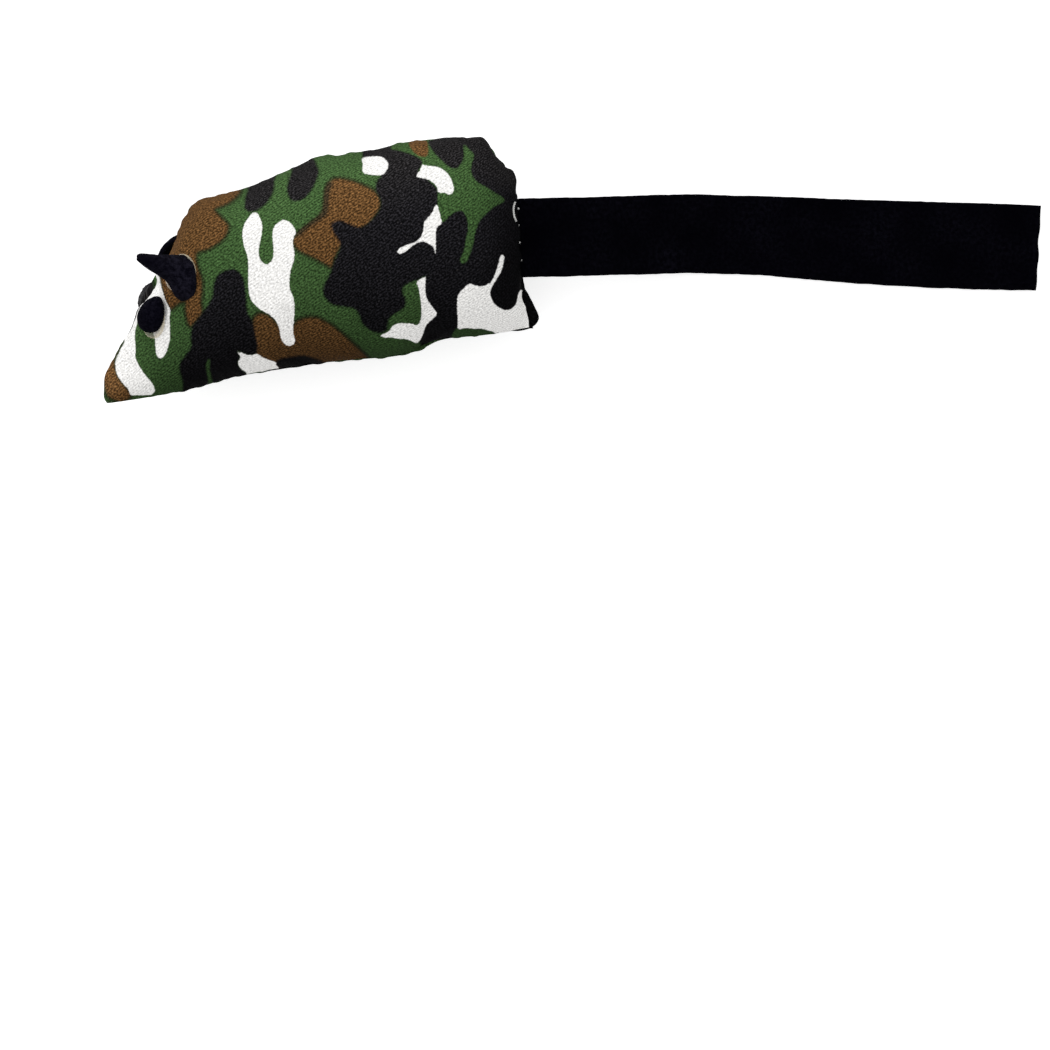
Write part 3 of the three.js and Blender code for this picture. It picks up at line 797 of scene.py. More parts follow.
even = np.arange(station_count + 1) / station_count
eased = (1 - np.cos(math.pi * even)) / 2
stations = even * (1 - end_density_share) + eased * end_density_share
ribs = (1 - np.cos(math.pi * np.arange(rib_count + 1) / rib_count)) / 2


def pocket_share(points):
    """1 where the tail leaves the rear seam, falling to 0 on both sides of it."""
    off = length_of(points[..., :2] - tail_seat)
    return 1 - smooth_step(off, pocket_half_width, pocket_end)


def edge_runs(points):
    """How far every point is from the first edge, along the surface down and across the grid."""
    runs = []
    for axis in (0, 1):
        steps = length_of(np.diff(points, axis=axis))
        start = np.zeros_like(np.take(steps, [0], axis))
        runs.append(np.concatenate([start, np.cumsum(steps, axis)], axis))
    return runs


def settle(points, held_name):
    """Cloth simulation of one half: the filling presses it out and its seam holds it.
    Returns how far each point moved."""
    scale = 20
    frames = 20
    rows, columns = points.shape[:2]
    # More cloth than its seam has room for puckers along it.
    fullness = 0.035
    sheet = make_piece(held_name, points * scale, grid_faces(rows, columns), cloth_material)
    group = sheet.vertex_groups.new(name="held")
    group.add(rim_indices(rows, columns), 1, "REPLACE")
    cloth = sheet.modifiers.new("cloth", "CLOTH")
    settings = {
        "quality": 6, "mass": 0.2, "tension_stiffness": 25, "compression_stiffness": 25,
        "shear_stiffness": 10, "bending_stiffness": 0.6, "vertex_group_mass": "held",
        "use_pressure": True, "uniform_pressure_force": 4, "shrink_min": -fullness,
    }
    for key, value in settings.items():
        setattr(cloth.settings, key, value)
    cloth.settings.effector_weights.gravity = 0
    cloth.point_cache.frame_start = 1
    cloth.point_cache.frame_end = frames
    for number in range(1, frames + 1):
        bpy.context.scene.frame_set(number)
    settled = sheet.evaluated_get(bpy.context.evaluated_depsgraph_get()).data
    flat = np.zeros(rows * columns * 3)
    settled.vertices.foreach_get("co", flat)
    bpy.context.scene.frame_set(1)
    data = sheet.data
    bpy.data.objects.remove(sheet)
    bpy.data.meshes.remove(data)
    return flat.reshape(rows, columns, 3) / scale - points


def capped(moves, most):
    length = length_of(moves)[..., None]
    return moves * most * np.tanh(length / most) / np.maximum(length, tiny)


def blurred(values, times):
    for _ in range(times):
        for axis in (0, 1):
            before = np.roll(values, 1, axis)
            after = np.roll(values, -1, axis)
            middle = (before + 2 * values + after) / 4
            keep = [slice(None)] * values.ndim
            keep[axis] = slice(1, -1)
            values = values.copy()
            values[tuple(keep)] = middle[tuple(keep)]
    return values


def puckers(points, half):
    """Small gathers that run into the seam and are deepest there."""
    seam_reach = 2.6 * mm
    seam_ease = (-0.2 * mm, 0.8 * mm)
    down_run, cross_run = edge_runs(points)
    edges = (
        (cross_run, down_run, 3.1, 11),
        (cross_run[:, -1:] - cross_run, down_run, 2.9, 12),
        (down_run, cross_run, 3.3, 13),
        (down_run[-1:] - down_run, cross_run, 2.7, 14),
    )
    depth = np.zeros(points.shape[:2])
    for distance, run, pitch, seed in edges:
        line = np.stack([run, 0 * run, 0 * run], axis=-1)
        gather = ripple(line, pitch * mm, seed + half["side"])
        depth += gather * np.exp(-distance / seam_reach) * smooth_step(distance, *seam_ease)
    return depth


# Where a panel's edge stands out or is pulled in: place in pixels, reach and push in
# millimetres, then the level where it is greatest and how far above and below that it goes
far_pushes = (
    ((532, 317), 4.6, 5.2, 4, 3),
    ((446, 140), 4.5, 0.6, 4, 3),
    ((424, 349), 3.6, 1.5, 4, 3),
    ((133, 322), 3.4, 0.5, 4, 3),
    ((152, 287), 3.2, 0.3, 4, 3),
)
near_pushes = (
    ((150, 288), 3.2, -2.2, 4, 6),
    ((146, 299), 2.4, -0.7, 4, 6),
    ((523, 295), 3.6, -0.8, 0.5, 3),
    ((529, 319), 3.0, 0.4, 0.5, 3),
)
# The same for the seam of both panels, which its stitches gather
gathers = (
    ((224, 193.5), 0.6, -0.4, 2, 5),
    ((213, 196.5), 0.8, -0.45, 2, 5),
    ((197, 204.5), 0.6, -0.35, 2, 5),
    ((188, 215), 0.9, -0.75, 3, 6),
    ((182.5, 227), 0.9, -0.75, 3, 6),
    ((177, 238), 0.6, -0.4, 3, 6),
    ((104.5, 396), 1.5, 0.4, 0.5, 3),
    ((113, 361), 2.6, -0.5, 1, 4),
    ((103.3, 372), 1.7, -0.55, 1, 4),
    ((107, 404), 0.9, -0.25, 0.5, 3),
    ((131, 327), 3.0, -0.5, 3, 6),
    ((338, 154), 3.0, -0.8, 1, 3),
    ((468, 137), 3.2, -1.1, 1, 3),
    ((506.5, 167.5), 0.8, -0.5, 0.5, 3),
    ((516, 181), 1.9, 0.6, 0.5, 3),
    ((522, 254), 6.0, -0.5, 0.5, 3),
)

# Painted light round the tip of the nose, and painted shade beside the rear seam and on the head. All
# are pixels.
lit_nose_pixel = (110, 386)
lit_nose_reach = 34
shaded_rear_pixel_x = 514
shaded_rear_reach = 24
shaded_rear_rows = (175, 215)
shaded_head_pixel = (190, 226)
shaded_head_reach = 40
# How far each of them counts as crown and as back
lit_nose_crown = 0.6
lit_nose_back = 0.55
shaded_rear_back = 0.4
head_shade_share = 0.12


def panel(half, name, node):
    points = half_surface(half, stations, ribs)
    pocket = pocket_share(points)
    fold = fold_level + pocket_rise * pocket
    points[..., 2] = np.sqrt(points[..., 2] ** 2 + fold**2)
    pushes = gathers + (near_pushes if half is near_half else far_pushes)
    pixels = pixel_of(to_world(points, half["side"]))
    away = points[..., :2] - body_middle
    away /= length_of(away)[..., None]
    for centre, reach, push, push_level, push_depth in pushes:
        off = length_of(pixels - centre) / pixels_per_metre
        share = bell(off, reach * mm) * bell(points[..., 2] / mm - push_level, push_depth)
        points[..., :2] += away * (share * push * mm)[..., None]
    printed = points.copy()
    lumps = sum(
        ripple(points, pitch * mm, seed + half["side"]) * height * mm
        for pitch, seed, height in cloth_lumps
    )
    lumps += puckers(points, half) * pucker_height * mm
    free = smooth_step(points[..., 2], 0, free_level)
    lumps *= held_lump_share + (1 - held_lump_share) * free
    points = points + grid_normals(points) * lumps[..., None]
    moved = settle(points[::settle_step, ::settle_step], "settling_" + name)
    moved = capped(moved - blurred(moved, settling_blur) * settling_kept_off, settling_most)
    moved = blurred(refined(moved, *points.shape[:2]), 1)
    slack = held_settling_share + (1 - held_settling_share) * free
    points = points + moved * (slack * smooth_step(points[..., 0], *stiff_nose))[..., None]
    if half is far_half:
        # The table presses the lying side flat.
        over = points[..., 2] - (seam_level - table_margin)
        points[..., 2] -= table_softness * np.logaddexp(0, over / table_softness)
    piece, outside_faces, follow = sewn_shell(half, name, points, pocket)
    write_print(piece, half, printed, follow)
    take_place(piece, "print_cloth", node)
    outside = to_world(points.reshape(-1, 3), half["side"])
    return BVHTree.FromPolygons(outside.tolist(), outside_faces)


def sewn_shell(half, name, points, pocket):
    """The cloth with its thickness, its fold at the seam and its allowance turned in. Also gives
    the faces that are outside, and for every point the outside point that it follows."""
    rows, columns = points.shape[:2]
    rim = rim_indices(rows, columns)
    flat_points = points.reshape(-1, 3)
    rim_points = flat_points[rim]
    spine = np.clip(np.repeat(stations, columns)[rim], spine_from, spine_to)
    middle = (seam_line(belly_shares, spine) + seam_line(back_shares, spine)) / 2
    inward = middle - rim_points[:, :2]
    room = length_of(inward)[:, None]
    rise = pocket.reshape(-1)[rim] * pocket_rise
    rings = []
    for inset, level in seam_rings:
        ring = rim_points.copy()
        ring[:, :2] += inward / room * np.minimum(inset * mm, room * inset_share_limit)
        ring[:, 2] = level * mm + rise
        rings.append(ring)
    # At the seam the inside lies one thickness of cloth towards the middle of the body.
    depth = (-grid_normals(points) * cloth_thickness).reshape(-1, 3)
    depth[rim] = 0
    depth[rim, :2] = inward / room * cloth_thickness
    source = np.arange(len(flat_points)).reshape(rows, columns)
    inner_source = source[::inner_step, ::inner_step]
    inner_rows, inner_columns = inner_source.shape
    inner = (flat_points + depth)[inner_source.reshape(-1)]
    everything = np.vstack([flat_points, *rings, inner])
    faces = grid_faces(rows, columns)
    upper = rim
    first = len(flat_points)
    for ring in rings:
        lower = list(range(first, first + len(rim)))
        faces += bridge(upper, lower)
        upper = lower
        first += len(rim)
    inner_rim = [first + k for k in rim_indices(inner_rows, inner_columns)]
    faces += fan_bridge(upper, inner_rim, inner_step)
    faces += [face[::-1] for face in grid_faces(inner_rows, inner_columns, first)]
    if half["side"] < 0:
        faces = [face[::-1] for face in faces]
    piece = make_piece(name, to_world(everything, half["side"]), faces, cloth_material)
    follow = np.concatenate([source.reshape(-1), *[rim] * len(rings), inner_source.reshape(-1)])
    return piece, faces[: (rows - 1) * (columns - 1)], follow


def write_print(piece, half, printed, follow):
    """What the cloth's material reads at every point, taken from the outside point it follows."""
    rows, columns = printed.shape[:2]
    body_points = printed.reshape(-1, 3)
    pixels = pixel_of(to_world(body_points, half["side"]))
    for layer, values in layer_distances(half, body_points, pixels).items():
        write_values(piece, layer, values[follow])
    # The cloth's own coordinates: its length along the crown, and round each section from there
    crown_line = printed[:, columns // 2]
    steps = np.hypot(np.diff(crown_line[:, 0]), np.diff(crown_line[:, 2]))
    crown_run = np.concatenate([[0], np.cumsum(steps)])
    girth = edge_runs(printed)[1]
    cross_run = girth - girth[:, columns // 2, None] + crown_line[:, 1, None]
    down_run = crown_run[:, None] + printed[..., 0] - crown_line[:, 0, None]
    turn_x, turn_y = math.cos(body_tilt), math.sin(body_tilt)
    flat_x = (down_run * turn_x - cross_run * turn_y) / mm
    flat_y = (down_run * turn_y + cross_run * turn_x) / mm
    cloth_place = np.stack([flat_x, flat_y, 0 * flat_x], axis=-1).reshape(-1, 3)
    lit_nose = bell(length_of(pixels - lit_nose_pixel), lit_nose_reach)
    shaded_head = bell(length_of(pixels - shaded_head_pixel), shaded_head_reach)
    shaded_rear = bell(pixels[:, 0] - shaded_rear_pixel_x, shaded_rear_reach)
    shaded_rear = shaded_rear * smooth_step(pixels[:, 1], *shaded_rear_rows)
    # The crown and back shares carry painted light and shade: lighter at the nose, darker beside the
    # rear seam and on the head.
    crown_share = body_points[:, 2] / half["swell"] + lit_nose_crown * lit_nose
    back_share = np.tile(ribs, rows) + lit_nose_back * lit_nose - shaded_rear_back * shaded_rear
    write_values(piece, "crown", (crown_share - head_shade_share * shaded_head)[follow])
    write_values(piece, "back", (back_share - head_shade_share * shaded_head)[follow])
    write_values(piece, "cloth", cloth_place[follow])


near_surface = panel(near_half, "left_panel_cloth", "left_side_panel")
far_surface = panel(far_half, "right_panel_cloth", "right_side_panel")


# The filling gives way where the forehead is drawn in.
forehead_dent = at_pixel(153, 290, 22 * mm)
forehead_dent_reach = 6 * mm
forehead_dent_depth = 2.4 * mm
# Its surface: how coarse, how far in from the solid's and at least how far, and its lumps as
# wavelength in millimetres, seed and height in millimetres
filling_voxel = 1.1 * mm
filling_gap = 0.35 * mm
filling_least_gap = 0.05 * mm
filling_lumps = ((5, 31, 0.2), (2, 32, 0.1))


def filling():
    """The CAD filling with a fibrous surface, drawn in from the cloth round it."""
    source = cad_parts["stuffing"]
    piece = make_piece("filling_fibre", [], [], filling_material)
    piece.data = source.data.copy()
    piece.data.materials.clear()
    piece.data.materials.append(filling_material)
    split = piece.modifiers.new("split", "REMESH")
    split.mode = "VOXEL"
    split.voxel_size = filling_voxel
    graph = bpy.context.evaluated_depsgraph_get()
    dense = bpy.data.meshes.new_from_object(piece.evaluated_get(graph))
    piece.modifiers.clear()
    piece.data = dense
    count = len(dense.vertices)
    places = np.zeros(count * 3)
    normals = np.zeros(count * 3)
    dense.vertices.foreach_get("co", places)
    dense.vertices.foreach_get("normal", normals)
    places, normals = places.reshape(-1, 3), normals.reshape(-1, 3)
    depth = filling_gap
    for pitch, seed, height in filling_lumps:
        depth = depth + height * mm * ripple(places, pitch * mm, seed)
    depth += forehead_dent_depth * bell(length_of(places - forehead_dent), forehead_dent_reach)
    places = places - normals * np.maximum(depth, filling_least_gap)[:, None]
    dense.vertices.foreach_set("co", places.reshape(-1))
    dense.update()
    dense.shade_smooth()
    take_place(piece, "filling_fibre", "stuffing")


filling()


# Felt

cut_thickness_share = 0.3
nap_pitch = 1.3 * mm


def felt(name, middle, thickness, material, seed, fuzz=0.05 * mm):
    """A closed felt piece round a grid of middle points, its cut edges half round."""
    rows, columns = middle.shape[:2]
    normals = grid_normals(middle)
    down_run, cross_run = edge_runs(middle)
    to_edge = np.minimum(
        np.minimum(down_run, down_run[-1:] - down_run),
        np.minimum(cross_run, cross_run[:, -1:] - cross_run),
    )
    round_share = quarter_round(to_edge, thickness / 2)
    share = cut_thickness_share + (1 - cut_thickness_share) * round_share
    half = (thickness / 2 * share)[..., None]
    upper = middle + normals * half
    lower = middle - normals * half
    upper += normals * (ripple(upper, nap_pitch, seed) * fuzz * share)[..., None]
    lower += normals * (ripple(lower, nap_pitch, seed + 1) * fuzz * share)[..., None]
    size = rows * columns
    faces = grid_faces(rows, columns)
    faces += [face[::-1] for face in grid_faces(rows, columns, size)]
    rim = rim_indices(rows, columns)
    faces += bridge(rim, [k + size for k in rim])
    return make_piece(name, np.vstack([upper.reshape(-1, 3), lower.reshape(-1, 3)]), faces, material)


def bend(piece, body, start, direction, length):
    """Bakes the felt's placement into its mesh."""
    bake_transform(piece)


# The tail: its long edges by pixel in the photograph, and how it sinks from the seam to the table
felt_thickness = 1.5 * mm
tail_edge_x = (495, 544, 620, 690, 760, 795, 830, 865, 900, 935, 970, 1005, 1041)
tail_top_y = (199, 198, 196, 194, 196, 197, 199, 200, 201, 202, 203, 204, 206)
tail_low_y = (277.5, 277, 275, 273, 275, 278, 281, 284, 286, 288, 289, 290, 290.5)
tail_end_slant = 5
tail_level_end = 0.76 * mm
tail_sink_from = 536
tail_sink_to = 726
tail_direction = Vector((0.9997, 0.02443, 0))
tail_bend_start = Vector((-12.1, 7.6, 16.5)) * mm
tail_bend_length = 12 * mm
tail_edge_blur = 30
# Waves of the cut long edges: wavelength in millimetres and height in pixels
cut_waves = ((9, 0.2), (2, 0.12))
# Waves of the cut end, which fade within a share of the tail that this power sets
end_wave_height = 0.5
end_wave_pitch = 5 * mm
end_wave_power = 40
# The strip doesn't lie quite flat on the table.
tail_lift = 0.06 * mm
tail_lift_pitch = 22 * mm


def tail():
    rows, columns = 300, 46
    down = np.linspace(0, 1, rows)
    across = (1 - np.cos(math.pi * np.arange(columns) / (columns - 1))) / 2
    x = tail_edge_x[0] + (tail_edge_x[-1] - tail_edge_x[0]) * down

    def edge(pixels, seed):
        line = blurred(np.interp(x, tail_edge_x, pixels)[:, None], tail_edge_blur)[:, 0]
        run = np.stack([x / pixels_per_metre, 0 * x, 0 * x], axis=-1)
        for k, (pitch, height) in enumerate(cut_waves):
            line = line + height * ripple(run, pitch * mm, seed + k)
        return line

    top, low = edge(tail_top_y, 41), edge(tail_low_y, 43)
    level = seam_level + (tail_level_end - seam_level) * smooth_step(x, tail_sink_from, tail_sink_to)
    # The edges run from the bottom one to the top one, so that the felt's upper side faces up.
    grid_y = low[:, None] + (top - low)[:, None] * across[None, :]
    slant = tail_end_slant * down[:, None] * (across[None, :] - 1)
    end_line = np.stack([0 * across, across * 20 * mm, 0 * across], axis=-1)
    wave = end_wave_height * ripple(end_line, end_wave_pitch, 45)
    grid_x = x[:, None] + slant + wave[None, :] * down[:, None] ** end_wave_power
    grid_level = level[:, None] + 0 * grid_x
    lift = tail_lift * smooth_step(x, tail_sink_from, tail_sink_to)[:, None]
    middle = at_pixel(grid_x, grid_y, grid_level)
    middle[..., 2] += lift * (1 + ripple(middle * (1, 1, 0), tail_lift_pitch, 46))
    piece = felt("tail_felt", middle, felt_thickness, felt_material, 47)
    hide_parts("tail_root", "tail")
    bend(piece, "tail_strip", tail_bend_start, tail_direction, tail_bend_length)


tail()

# The ears: the near one by its edges in the photograph, from base to tip, and the far one, of
# which little shows, as a curled leaf
ear_thickness = 1.2 * mm
ear_fuzz = 0.04 * mm
ear_rows = 44
near_ear_top = (
    (188, 258), (184.5, 257.2), (179, 256.8), (173, 256.6), (167, 256.6), (161, 256.6),
    (155, 256.4), (149, 255.8), (144, 255), (138.8, 254.8), (136.6, 256.4),
)
near_ear_low = (
    (190.5, 300.2), (182.5, 300), (176.3, 296.3), (172.8, 289.5), (169.3, 282.2), (163.3, 277),
    (157, 273.2), (149.8, 269), (144, 264.8), (138.6, 260.6), (136.6, 258.6),
)
near_ear_out = np.array([0.4399, -0.0316, 0.8975])
near_ear_leaf = Vector((-0.8373, 0.3468, 0.4226))
near_ear_hinge = Vector((-89.887, -1.818, 34.236)) * mm
near_ear_base_level = 29.5 * mm
near_ear_tip_level = 38.6 * mm
near_ear_arch = (4.2 * mm, 0.5 * mm)

far_ear_hinge = np.array([-93.76, -0.72, 2.864]) * mm
far_ear_leaf = np.array([-0.6028, 0.7856, -0.1392])
far_ear_out = np.array([-0.2977, -0.3833, -0.8744])
far_ear_axis = np.array([0.74026, 0.48567, -0.4649])
far_ear_curl = -117 * degree
far_ear_cup = 0.48 * mm
ear_length = 14 * mm
ear_width = 10.4 * mm
ear_width_shares = (0.42, 0.82, 1, 0.97, 0.87, 0.73, 0.57, 0.42, 0.2)
ear_bend_length = 3.5 * mm


def along_points(points, shares):
    table = np.array(points, float)
    places = np.linspace(0, 1, len(table))
    return np.stack([np.interp(shares, places, table[:, k]) for k in (0, 1)], axis=-1)


def declare_ear(piece, side, hinge, leaf):
    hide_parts(side + "_ear")
    bend(piece, side + "_ear_leaf", Vector(hinge), Vector(leaf), ear_bend_length)


def ear_grid(columns):
    """Shares down an ear's length, and across it from -1 to 1."""
    down = np.linspace(0, 1, ear_rows)
    return down, np.sin(np.linspace(-1, 1, columns) * math.pi / 2)


def near_ear():
    down, across = ear_grid(40)
    top = blurred(along_points(near_ear_top, down), 6)
    low = blurred(along_points(near_ear_low, down), 6)
    level = near_ear_base_level + (near_ear_tip_level - near_ear_base_level) * down
    top_points = at_pixel(top[:, 0], top[:, 1], level)
    low_points = at_pixel(low[:, 0], low[:, 1], level)
    share = ((1 - across) / 2)[None, :, None]
    middle = top_points[:, None, :] * share + low_points[:, None, :] * (1 - share)
    arch = near_ear_arch[0] + (near_ear_arch[1] - near_ear_arch[0]) * down
    power = 0.5 + 0.5 * down
    rise = arch[:, None] * (1 - across[None, :] ** 2 + small) ** power[:, None]
    middle = middle + rise[..., None] * near_ear_out
    piece = felt("left_ear_felt", middle[:, ::-1], ear_thickness, ear_material, 51, ear_fuzz)
    declare_ear(piece, "left", near_ear_hinge, near_ear_leaf)


def far_ear():
    down, across = ear_grid(30)
    turn = far_ear_curl * down + small
    distance = ear_length * down
    chord = distance * np.sin(turn) / turn
    sag = distance * (1 - np.cos(turn)) / turn
    line = far_ear_hinge + chord[:, None] * far_ear_leaf + sag[:, None] * far_ear_out
    out = np.cos(turn)[:, None] * far_ear_out - np.sin(turn)[:, None] * far_ear_leaf
    half_width = np.interp(down, np.linspace(0, 1, len(ear_width_shares)), ear_width_shares)
    half_width = half_width * ear_width / 2
    side_step = half_width[:, None, None] * across[None, :, None] * far_ear_axis
    cup = far_ear_cup * (across**2)[None, :, None] * out[:, None, :]
    middle = line[:, None, :] + side_step - cup
    piece = felt("right_ear_felt", middle, ear_thickness, ear_material, 61, ear_fuzz)
    declare_ear(piece, "right", far_ear_hinge, far_ear_leaf)


# Eyes and glue pads stand on the cloth, found by a line of sight from outside it.

def cloth_under(surface, point, outward):
    reach = 12 * mm
    place = surface.ray_cast(point + outward * reach, -outward, 3 * reach)[0]
    if place is None:
        place = surface.find_nearest(point)[0]
    return np.array(place)


def seen_on(surface, x, y):
    """The point and normal of the surface that show at the photograph's pixel x, y."""
    sight = Vector(at_pixel(x, y, 0.0)) - camera.location
    return surface.ray_cast(camera.location, sight.normalized())[:2]


def mound(name, surface, centre, outward, turn, size, low, high, material, seed, fuzz, rings=26):
    """A closed piece that stands on the cloth. low and high give how far its underside and top
    lie above the cloth at each share of its radius."""
    sides = 72
    out = Vector(outward).normalized()
    upright = (Vector((0, 1, 0)) - out * out.y).normalized()
    first = (upright * math.cos(turn) + out.cross(upright) * math.sin(turn)).normalized()
    second = out.cross(first)
    middle = Vector(cloth_under(surface, Vector(centre), out))
    angles = 2 * math.pi * np.arange(sides) / sides
    ring_line = np.stack([np.cos(angles), np.sin(angles), 0 * angles], axis=-1)
    wobble = 1 + rim_wobble * ripple(ring_line, rim_wobble_pitch, seed)
    points = []
    shares = [math.sin(math.pi / 2 * k / rings) for k in range(1, rings + 1)]

    def place(share, angle, reach, level):
        flat = first * (math.cos(angle) * size[0] / 2) + second * (math.sin(angle) * size[1] / 2)
        return cloth_under(surface, middle + flat * share * reach, out) + np.array(out) * level(share)

    top_centre = place(0, 0, 1, high)
    low_centre = place(0, 0, 1, low)
    for share in shares:
        points += [place(share, angle, reach, high) for angle, reach in zip(angles, wobble)]
    lower_shares = shares[-2::-2]
    for share in lower_shares:
        points += [place(share, angle, reach, low) for angle, reach in zip(angles, wobble)]
    points = np.array(points)
    upper_count = len(shares) * sides
    rough = ripple(points, fine_grain, seed + 1) + ripple(points, coarse_grain, seed + 2)
    points[:upper_count] += np.array(out) * (rough[:upper_count] * fuzz)[:, None]
    points = np.vstack([points, [top_centre, low_centre]])
    ring_count = len(shares) + len(lower_shares)
    all_rings = [list(range(k * sides, (k + 1) * sides)) for k in range(ring_count)]
    faces = []
    for inner_ring, outer_ring in zip(all_rings, all_rings[1:]):
        faces += bridge(inner_ring, outer_ring)
    top_index, low_index = len(points) - 2, len(points) - 1
    for k in range(sides):
        following = (k + 1) % sides
        faces.append((top_index, all_rings[0][k], all_rings[0][following]))
        faces.append((low_index, all_rings[-1][following], all_rings[-1][k]))
    piece = make_piece(name, points, faces, material)
    write_values(piece, "rim", np.append(np.repeat(shares + lower_shares, sides), [0, 0]))
    return piece


def glue_pad(part, surface, centre, outward, size, seed):
    def low(share):
        return glue_sink

    def high(share):
        return glue_sink + glue_height * quarter_round(1 - share, glue_rim_share)

    name = part + "_pad"
    piece = mound(name, surface, centre, outward, 0, size, low, high, pad_material, seed, glue_fuzz)
    take_place(piece, "clear_glue", part + "_glue")


def eye(part, surface, centre, outward, turn, material, fuzz, seed):
    def low(share):
        return eye_seat

    def high(share):
        return eye_seat + eye_edge + eye_dome * math.sqrt(max(0, 1 - share**2)) ** 0.9

    name = part + "_flock"
    piece = mound(name, surface, centre, outward, turn, eye_size, low, high, material, seed, fuzz, 40)
    take_place(piece, "black_flock", part)


# A mound's rim wanders by a share of its radius, with a pitch in radii. Its top has two grains.
rim_wobble = 0.03
rim_wobble_pitch = 1.4
fine_grain = 0.55 * mm
coarse_grain = 1.4 * mm
glue_sink = -0.08 * mm
glue_height = 1.15 * mm
glue_rim_share = 0.45
glue_fuzz = 0.03 * mm
eye_seat = 1.2 * mm
eye_edge = 0.25 * mm
eye_dome = 2.5 * mm
eye_size = (8.75 * mm, 7.5 * mm)
ear_glue_size = (9.2 * mm, 10.1 * mm)
eye_glue_size = (8.6 * mm, 6.4 * mm)
near_eye_out = (-0.58865, 0.12076, 0.79931)
near_ear_pad_out = (-0.40, 0.0985, 0.90)
far_eye_out = (-0.74882, 0.3085, -0.58659)
far_ear_pad_out = (-0.73912, 0.08148, -0.66863)
near_eye_pixel = (157.9, 315.8)
near_eye_pad_pixel = (156.8, 321.5)
near_ear_pad_pixel = (179.2, 272.4)
near_eye_level = 26 * mm
near_eye_turn = -9 * degree
far_eye_turn = 20 * degree
near_eye_fuzz = 0.035 * mm
far_eye_fuzz = 0.09 * mm
far_eye_centre = np.array([-99.45, -7.0, 8.4]) * mm
far_ear_pad_centre = np.array([-92.961, -0.632, 5.017]) * mm

near_eye_centre = at_pixel(*near_eye_pixel, near_eye_level)
near_eye_pad_centre = at_pixel(*near_eye_pad_pixel, near_eye_level)
near_ear_pad_centre = seen_on(near_surface, *near_ear_pad_pixel)[0]

glue_pad("left_ear", near_surface, near_ear_pad_centre, near_ear_pad_out, ear_glue_size, 71)
glue_pad("left_eye", near_surface, near_eye_pad_centre, near_eye_out, eye_glue_size, 72)
glue_pad("right_ear", far_surface, far_ear_pad_centre, far_ear_pad_out, ear_glue_size, 73)
glue_pad("right_eye", far_surface, far_eye_centre, far_eye_out, eye_glue_size, 74)
eye("left_eye", near_surface, near_eye_centre, near_eye_out, near_eye_turn, flock_material,
    near_eye_fuzz, 81)
eye("right_eye", far_surface, far_eye_centre, far_eye_out, far_eye_turn, lit_flock_material,
    far_eye_fuzz, 82)
near_ear()
far_ear()


# Thread: plies twisted along a line of points

plies = 2
ply_sides = 8
twist_pitch = 1.1 * mm
ply_radius_share = 0.29
ply_offset_share = 0.2


def thread(name, path, thickness, closed):
    line = curve_through(path, 8, closed)
    ahead = np.gradient(line, axis=0)
    if closed:
        ahead = np.roll(line, -1, 0) - np.roll(line, 1, 0)
    ahead /= length_of(ahead)[:, None]
    # Any direction that no thread runs along
    aside = np.cross(ahead, np.array([0.31, 0.9, 0.17]))
    aside /= length_of(aside)[:, None]
    up = np.cross(ahead, aside)
    run = np.concatenate([[0], np.cumsum(length_of(np.diff(line, axis=0)))])
    turns = run / twist_pitch
    if closed:
        whole = run[-1] + length_of(line[0] - line[-1])
        turns = run / whole * max(1, round(whole / twist_pitch))
    ply_radius = thickness * ply_radius_share
    ply_offset = thickness * ply_offset_share
    points, faces = [], []
    for ply in range(plies):
        angle = 2 * math.pi * (turns + ply / plies)
        centre = line + ply_offset * (np.cos(angle)[:, None] * aside + np.sin(angle)[:, None] * up)
        first = len(points)
        for k in range(ply_sides):
            around = 2 * math.pi * k / ply_sides
            ring = math.cos(around) * aside + math.sin(around) * up
            points += list(centre + ply_radius * ring)
        count = len(line)
        last = count if closed else count - 1
        for k in range(ply_sides):
            following = (k + 1) % ply_sides
            for m in range(last):
                n = (m + 1) % count
                a, b = first + k * count, first + following * count
                faces.append((a + m, a + n, b + n, b + m))
        if not closed:
            faces.append([first + k * count for k in range(ply_sides)])
            faces.append([first + k * count + count - 1 for k in range(ply_sides)][::-1])
    return make_piece(name, points, faces, thread_material)


# Each stitch goes round the fold of the seam and through the felt. How far along the tail and how
# far up, in millimetres
stitch_section = (
    (-1.7, 1.45), (-0.9, 1.8), (-0.1, 1.72), (0.42, 1.2), (0.5, 0.5), (0.5, -0.5), (0.42, -1.2),
    (-0.1, -1.72), (-0.9, -1.8), (-1.7, -1.45), (-1.75, 0),
)
closing_section = (
    (-1.6, 0.7), (-0.9, 1.1), (-0.2, 0.95), (0.16, 0.4), (0.16, -0.4), (-0.2, -0.95), (-0.9, -1.1),
    (-1.6, -0.7), (-1.7, 0),
)
stitch_pixels = (
    ("tail_stitch_4", (516.3, 208.9)), ("tail_stitch_3", (516.2, 225.4)),
    ("tail_stitch_2", (517.4, 242.6)), ("tail_stitch_1", (518.9, 260.2)),
)
closing_pixel = (520.6, 291)
seam_thread_thickness = 0.55 * mm


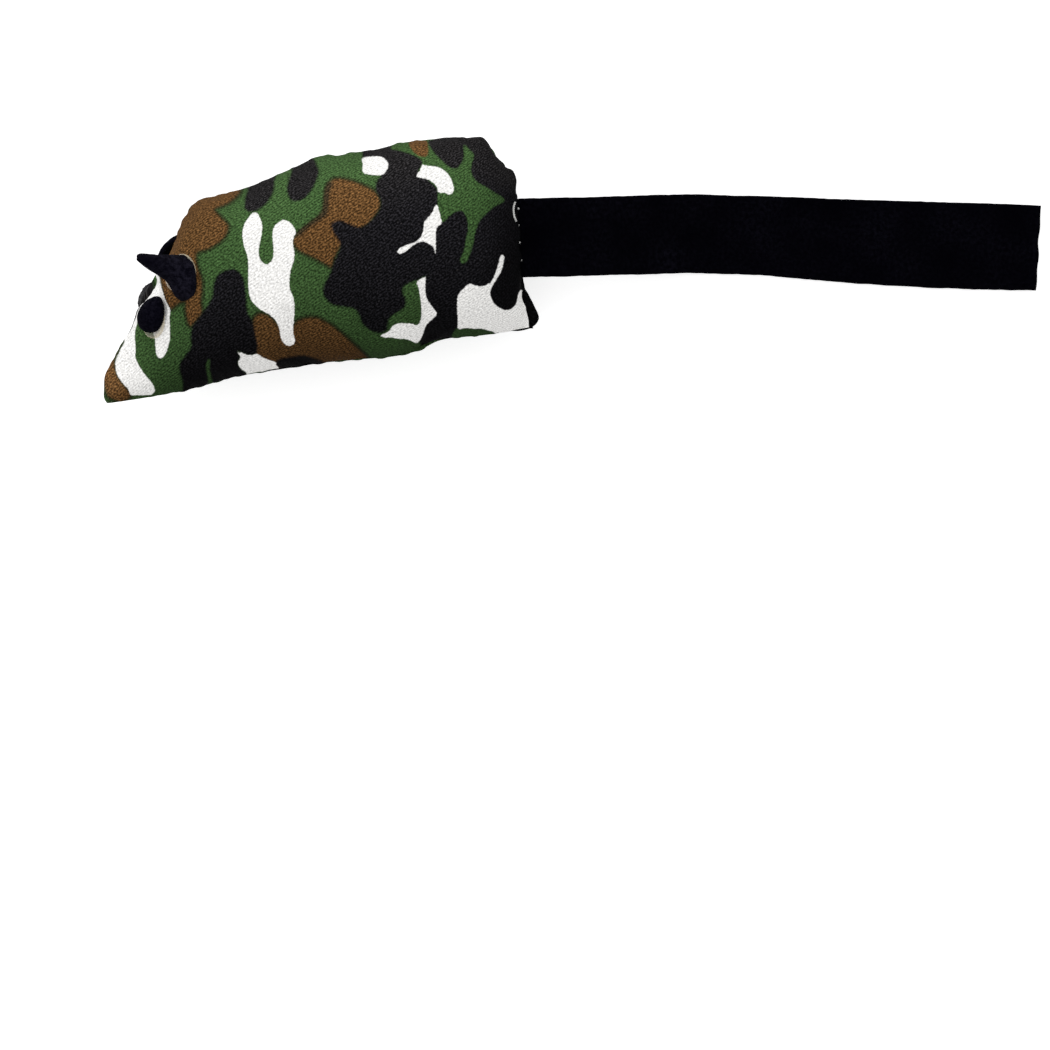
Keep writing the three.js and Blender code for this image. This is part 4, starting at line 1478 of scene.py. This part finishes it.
def stitch(node, pixel, section):
    middle = at_pixel(*pixel, seam_level)
    along = np.array(tail_direction)
    path = [middle + along * x * mm + np.array([0, 0, z * mm]) for x, z in section]
    piece = thread(node + "_thread", path, seam_thread_thickness, True)
    take_place(piece, "white_thread", node)


for stitch_node, stitch_pixel in stitch_pixels:
    stitch(stitch_node, stitch_pixel, stitch_section)
stitch("closing_stitch", closing_pixel, closing_section)

# A loose loop of the same thread on the rear of the near panel
loose_loop = ((514.2, 202), (513.0, 206), (512.6, 211), (513.4, 217), (515.2, 221.5))
loose_height = 0.25 * mm
loop_path = []
for loop_x, loop_y in loose_loop:
    spot, spot_normal = seen_on(near_surface, loop_x, loop_y)
    loop_path.append(spot + spot_normal * loose_height)
take_place(thread("loose_thread", loop_path, seam_thread_thickness, False), "white_thread")


floor_glow = 0.62
backdrop_light = 0.72


def floor():
    """Plain and pale, white to the camera, with the toy's soft shadow."""
    r = Recipe("floor")
    light_path = r.node("LightPath")
    seen = r.math("MAXIMUM", light_path.outputs["Is Camera Ray"], light_path.outputs["Is Glossy Ray"])
    seen = r.math("MAXIMUM", seen, light_path.outputs["Is Transmission Ray"])
    diffuse = r.node("BsdfDiffuse", {"Color": (0.82, 0.82, 0.82, 1)})
    glow = r.node("Emission", {"Strength": r.times(seen, floor_glow)})
    total = r.node("AddShader", {0: diffuse.outputs[0], 1: glow.outputs[0]})
    r.node("OutputMaterial", {"Surface": total.outputs[0]})
    half = 3.0
    level = -0.15 * mm
    corners = [(x * half, y * half, level) for x, y in ((-1, -1), (1, -1), (1, 1), (-1, 1))]
    piece = make_piece("floor", corners, [(0, 1, 2, 3)], r.material)


floor()

world = bpy.data.worlds.new("studio")
world.use_nodes = True
bpy.context.scene.world = world
world_nodes = world.node_tree
backdrop = world_nodes.nodes["Background"]
ray = world_nodes.nodes.new("ShaderNodeLightPath")
strength = world_nodes.nodes.new("ShaderNodeMapRange")
strength.inputs["To Min"].default_value = backdrop_light
world_nodes.links.new(ray.outputs["Is Camera Ray"], strength.inputs["Value"])
world_nodes.links.new(strength.outputs[0], backdrop.inputs["Strength"])
backdrop.inputs["Color"].default_value = (1, 1, 1, 1)
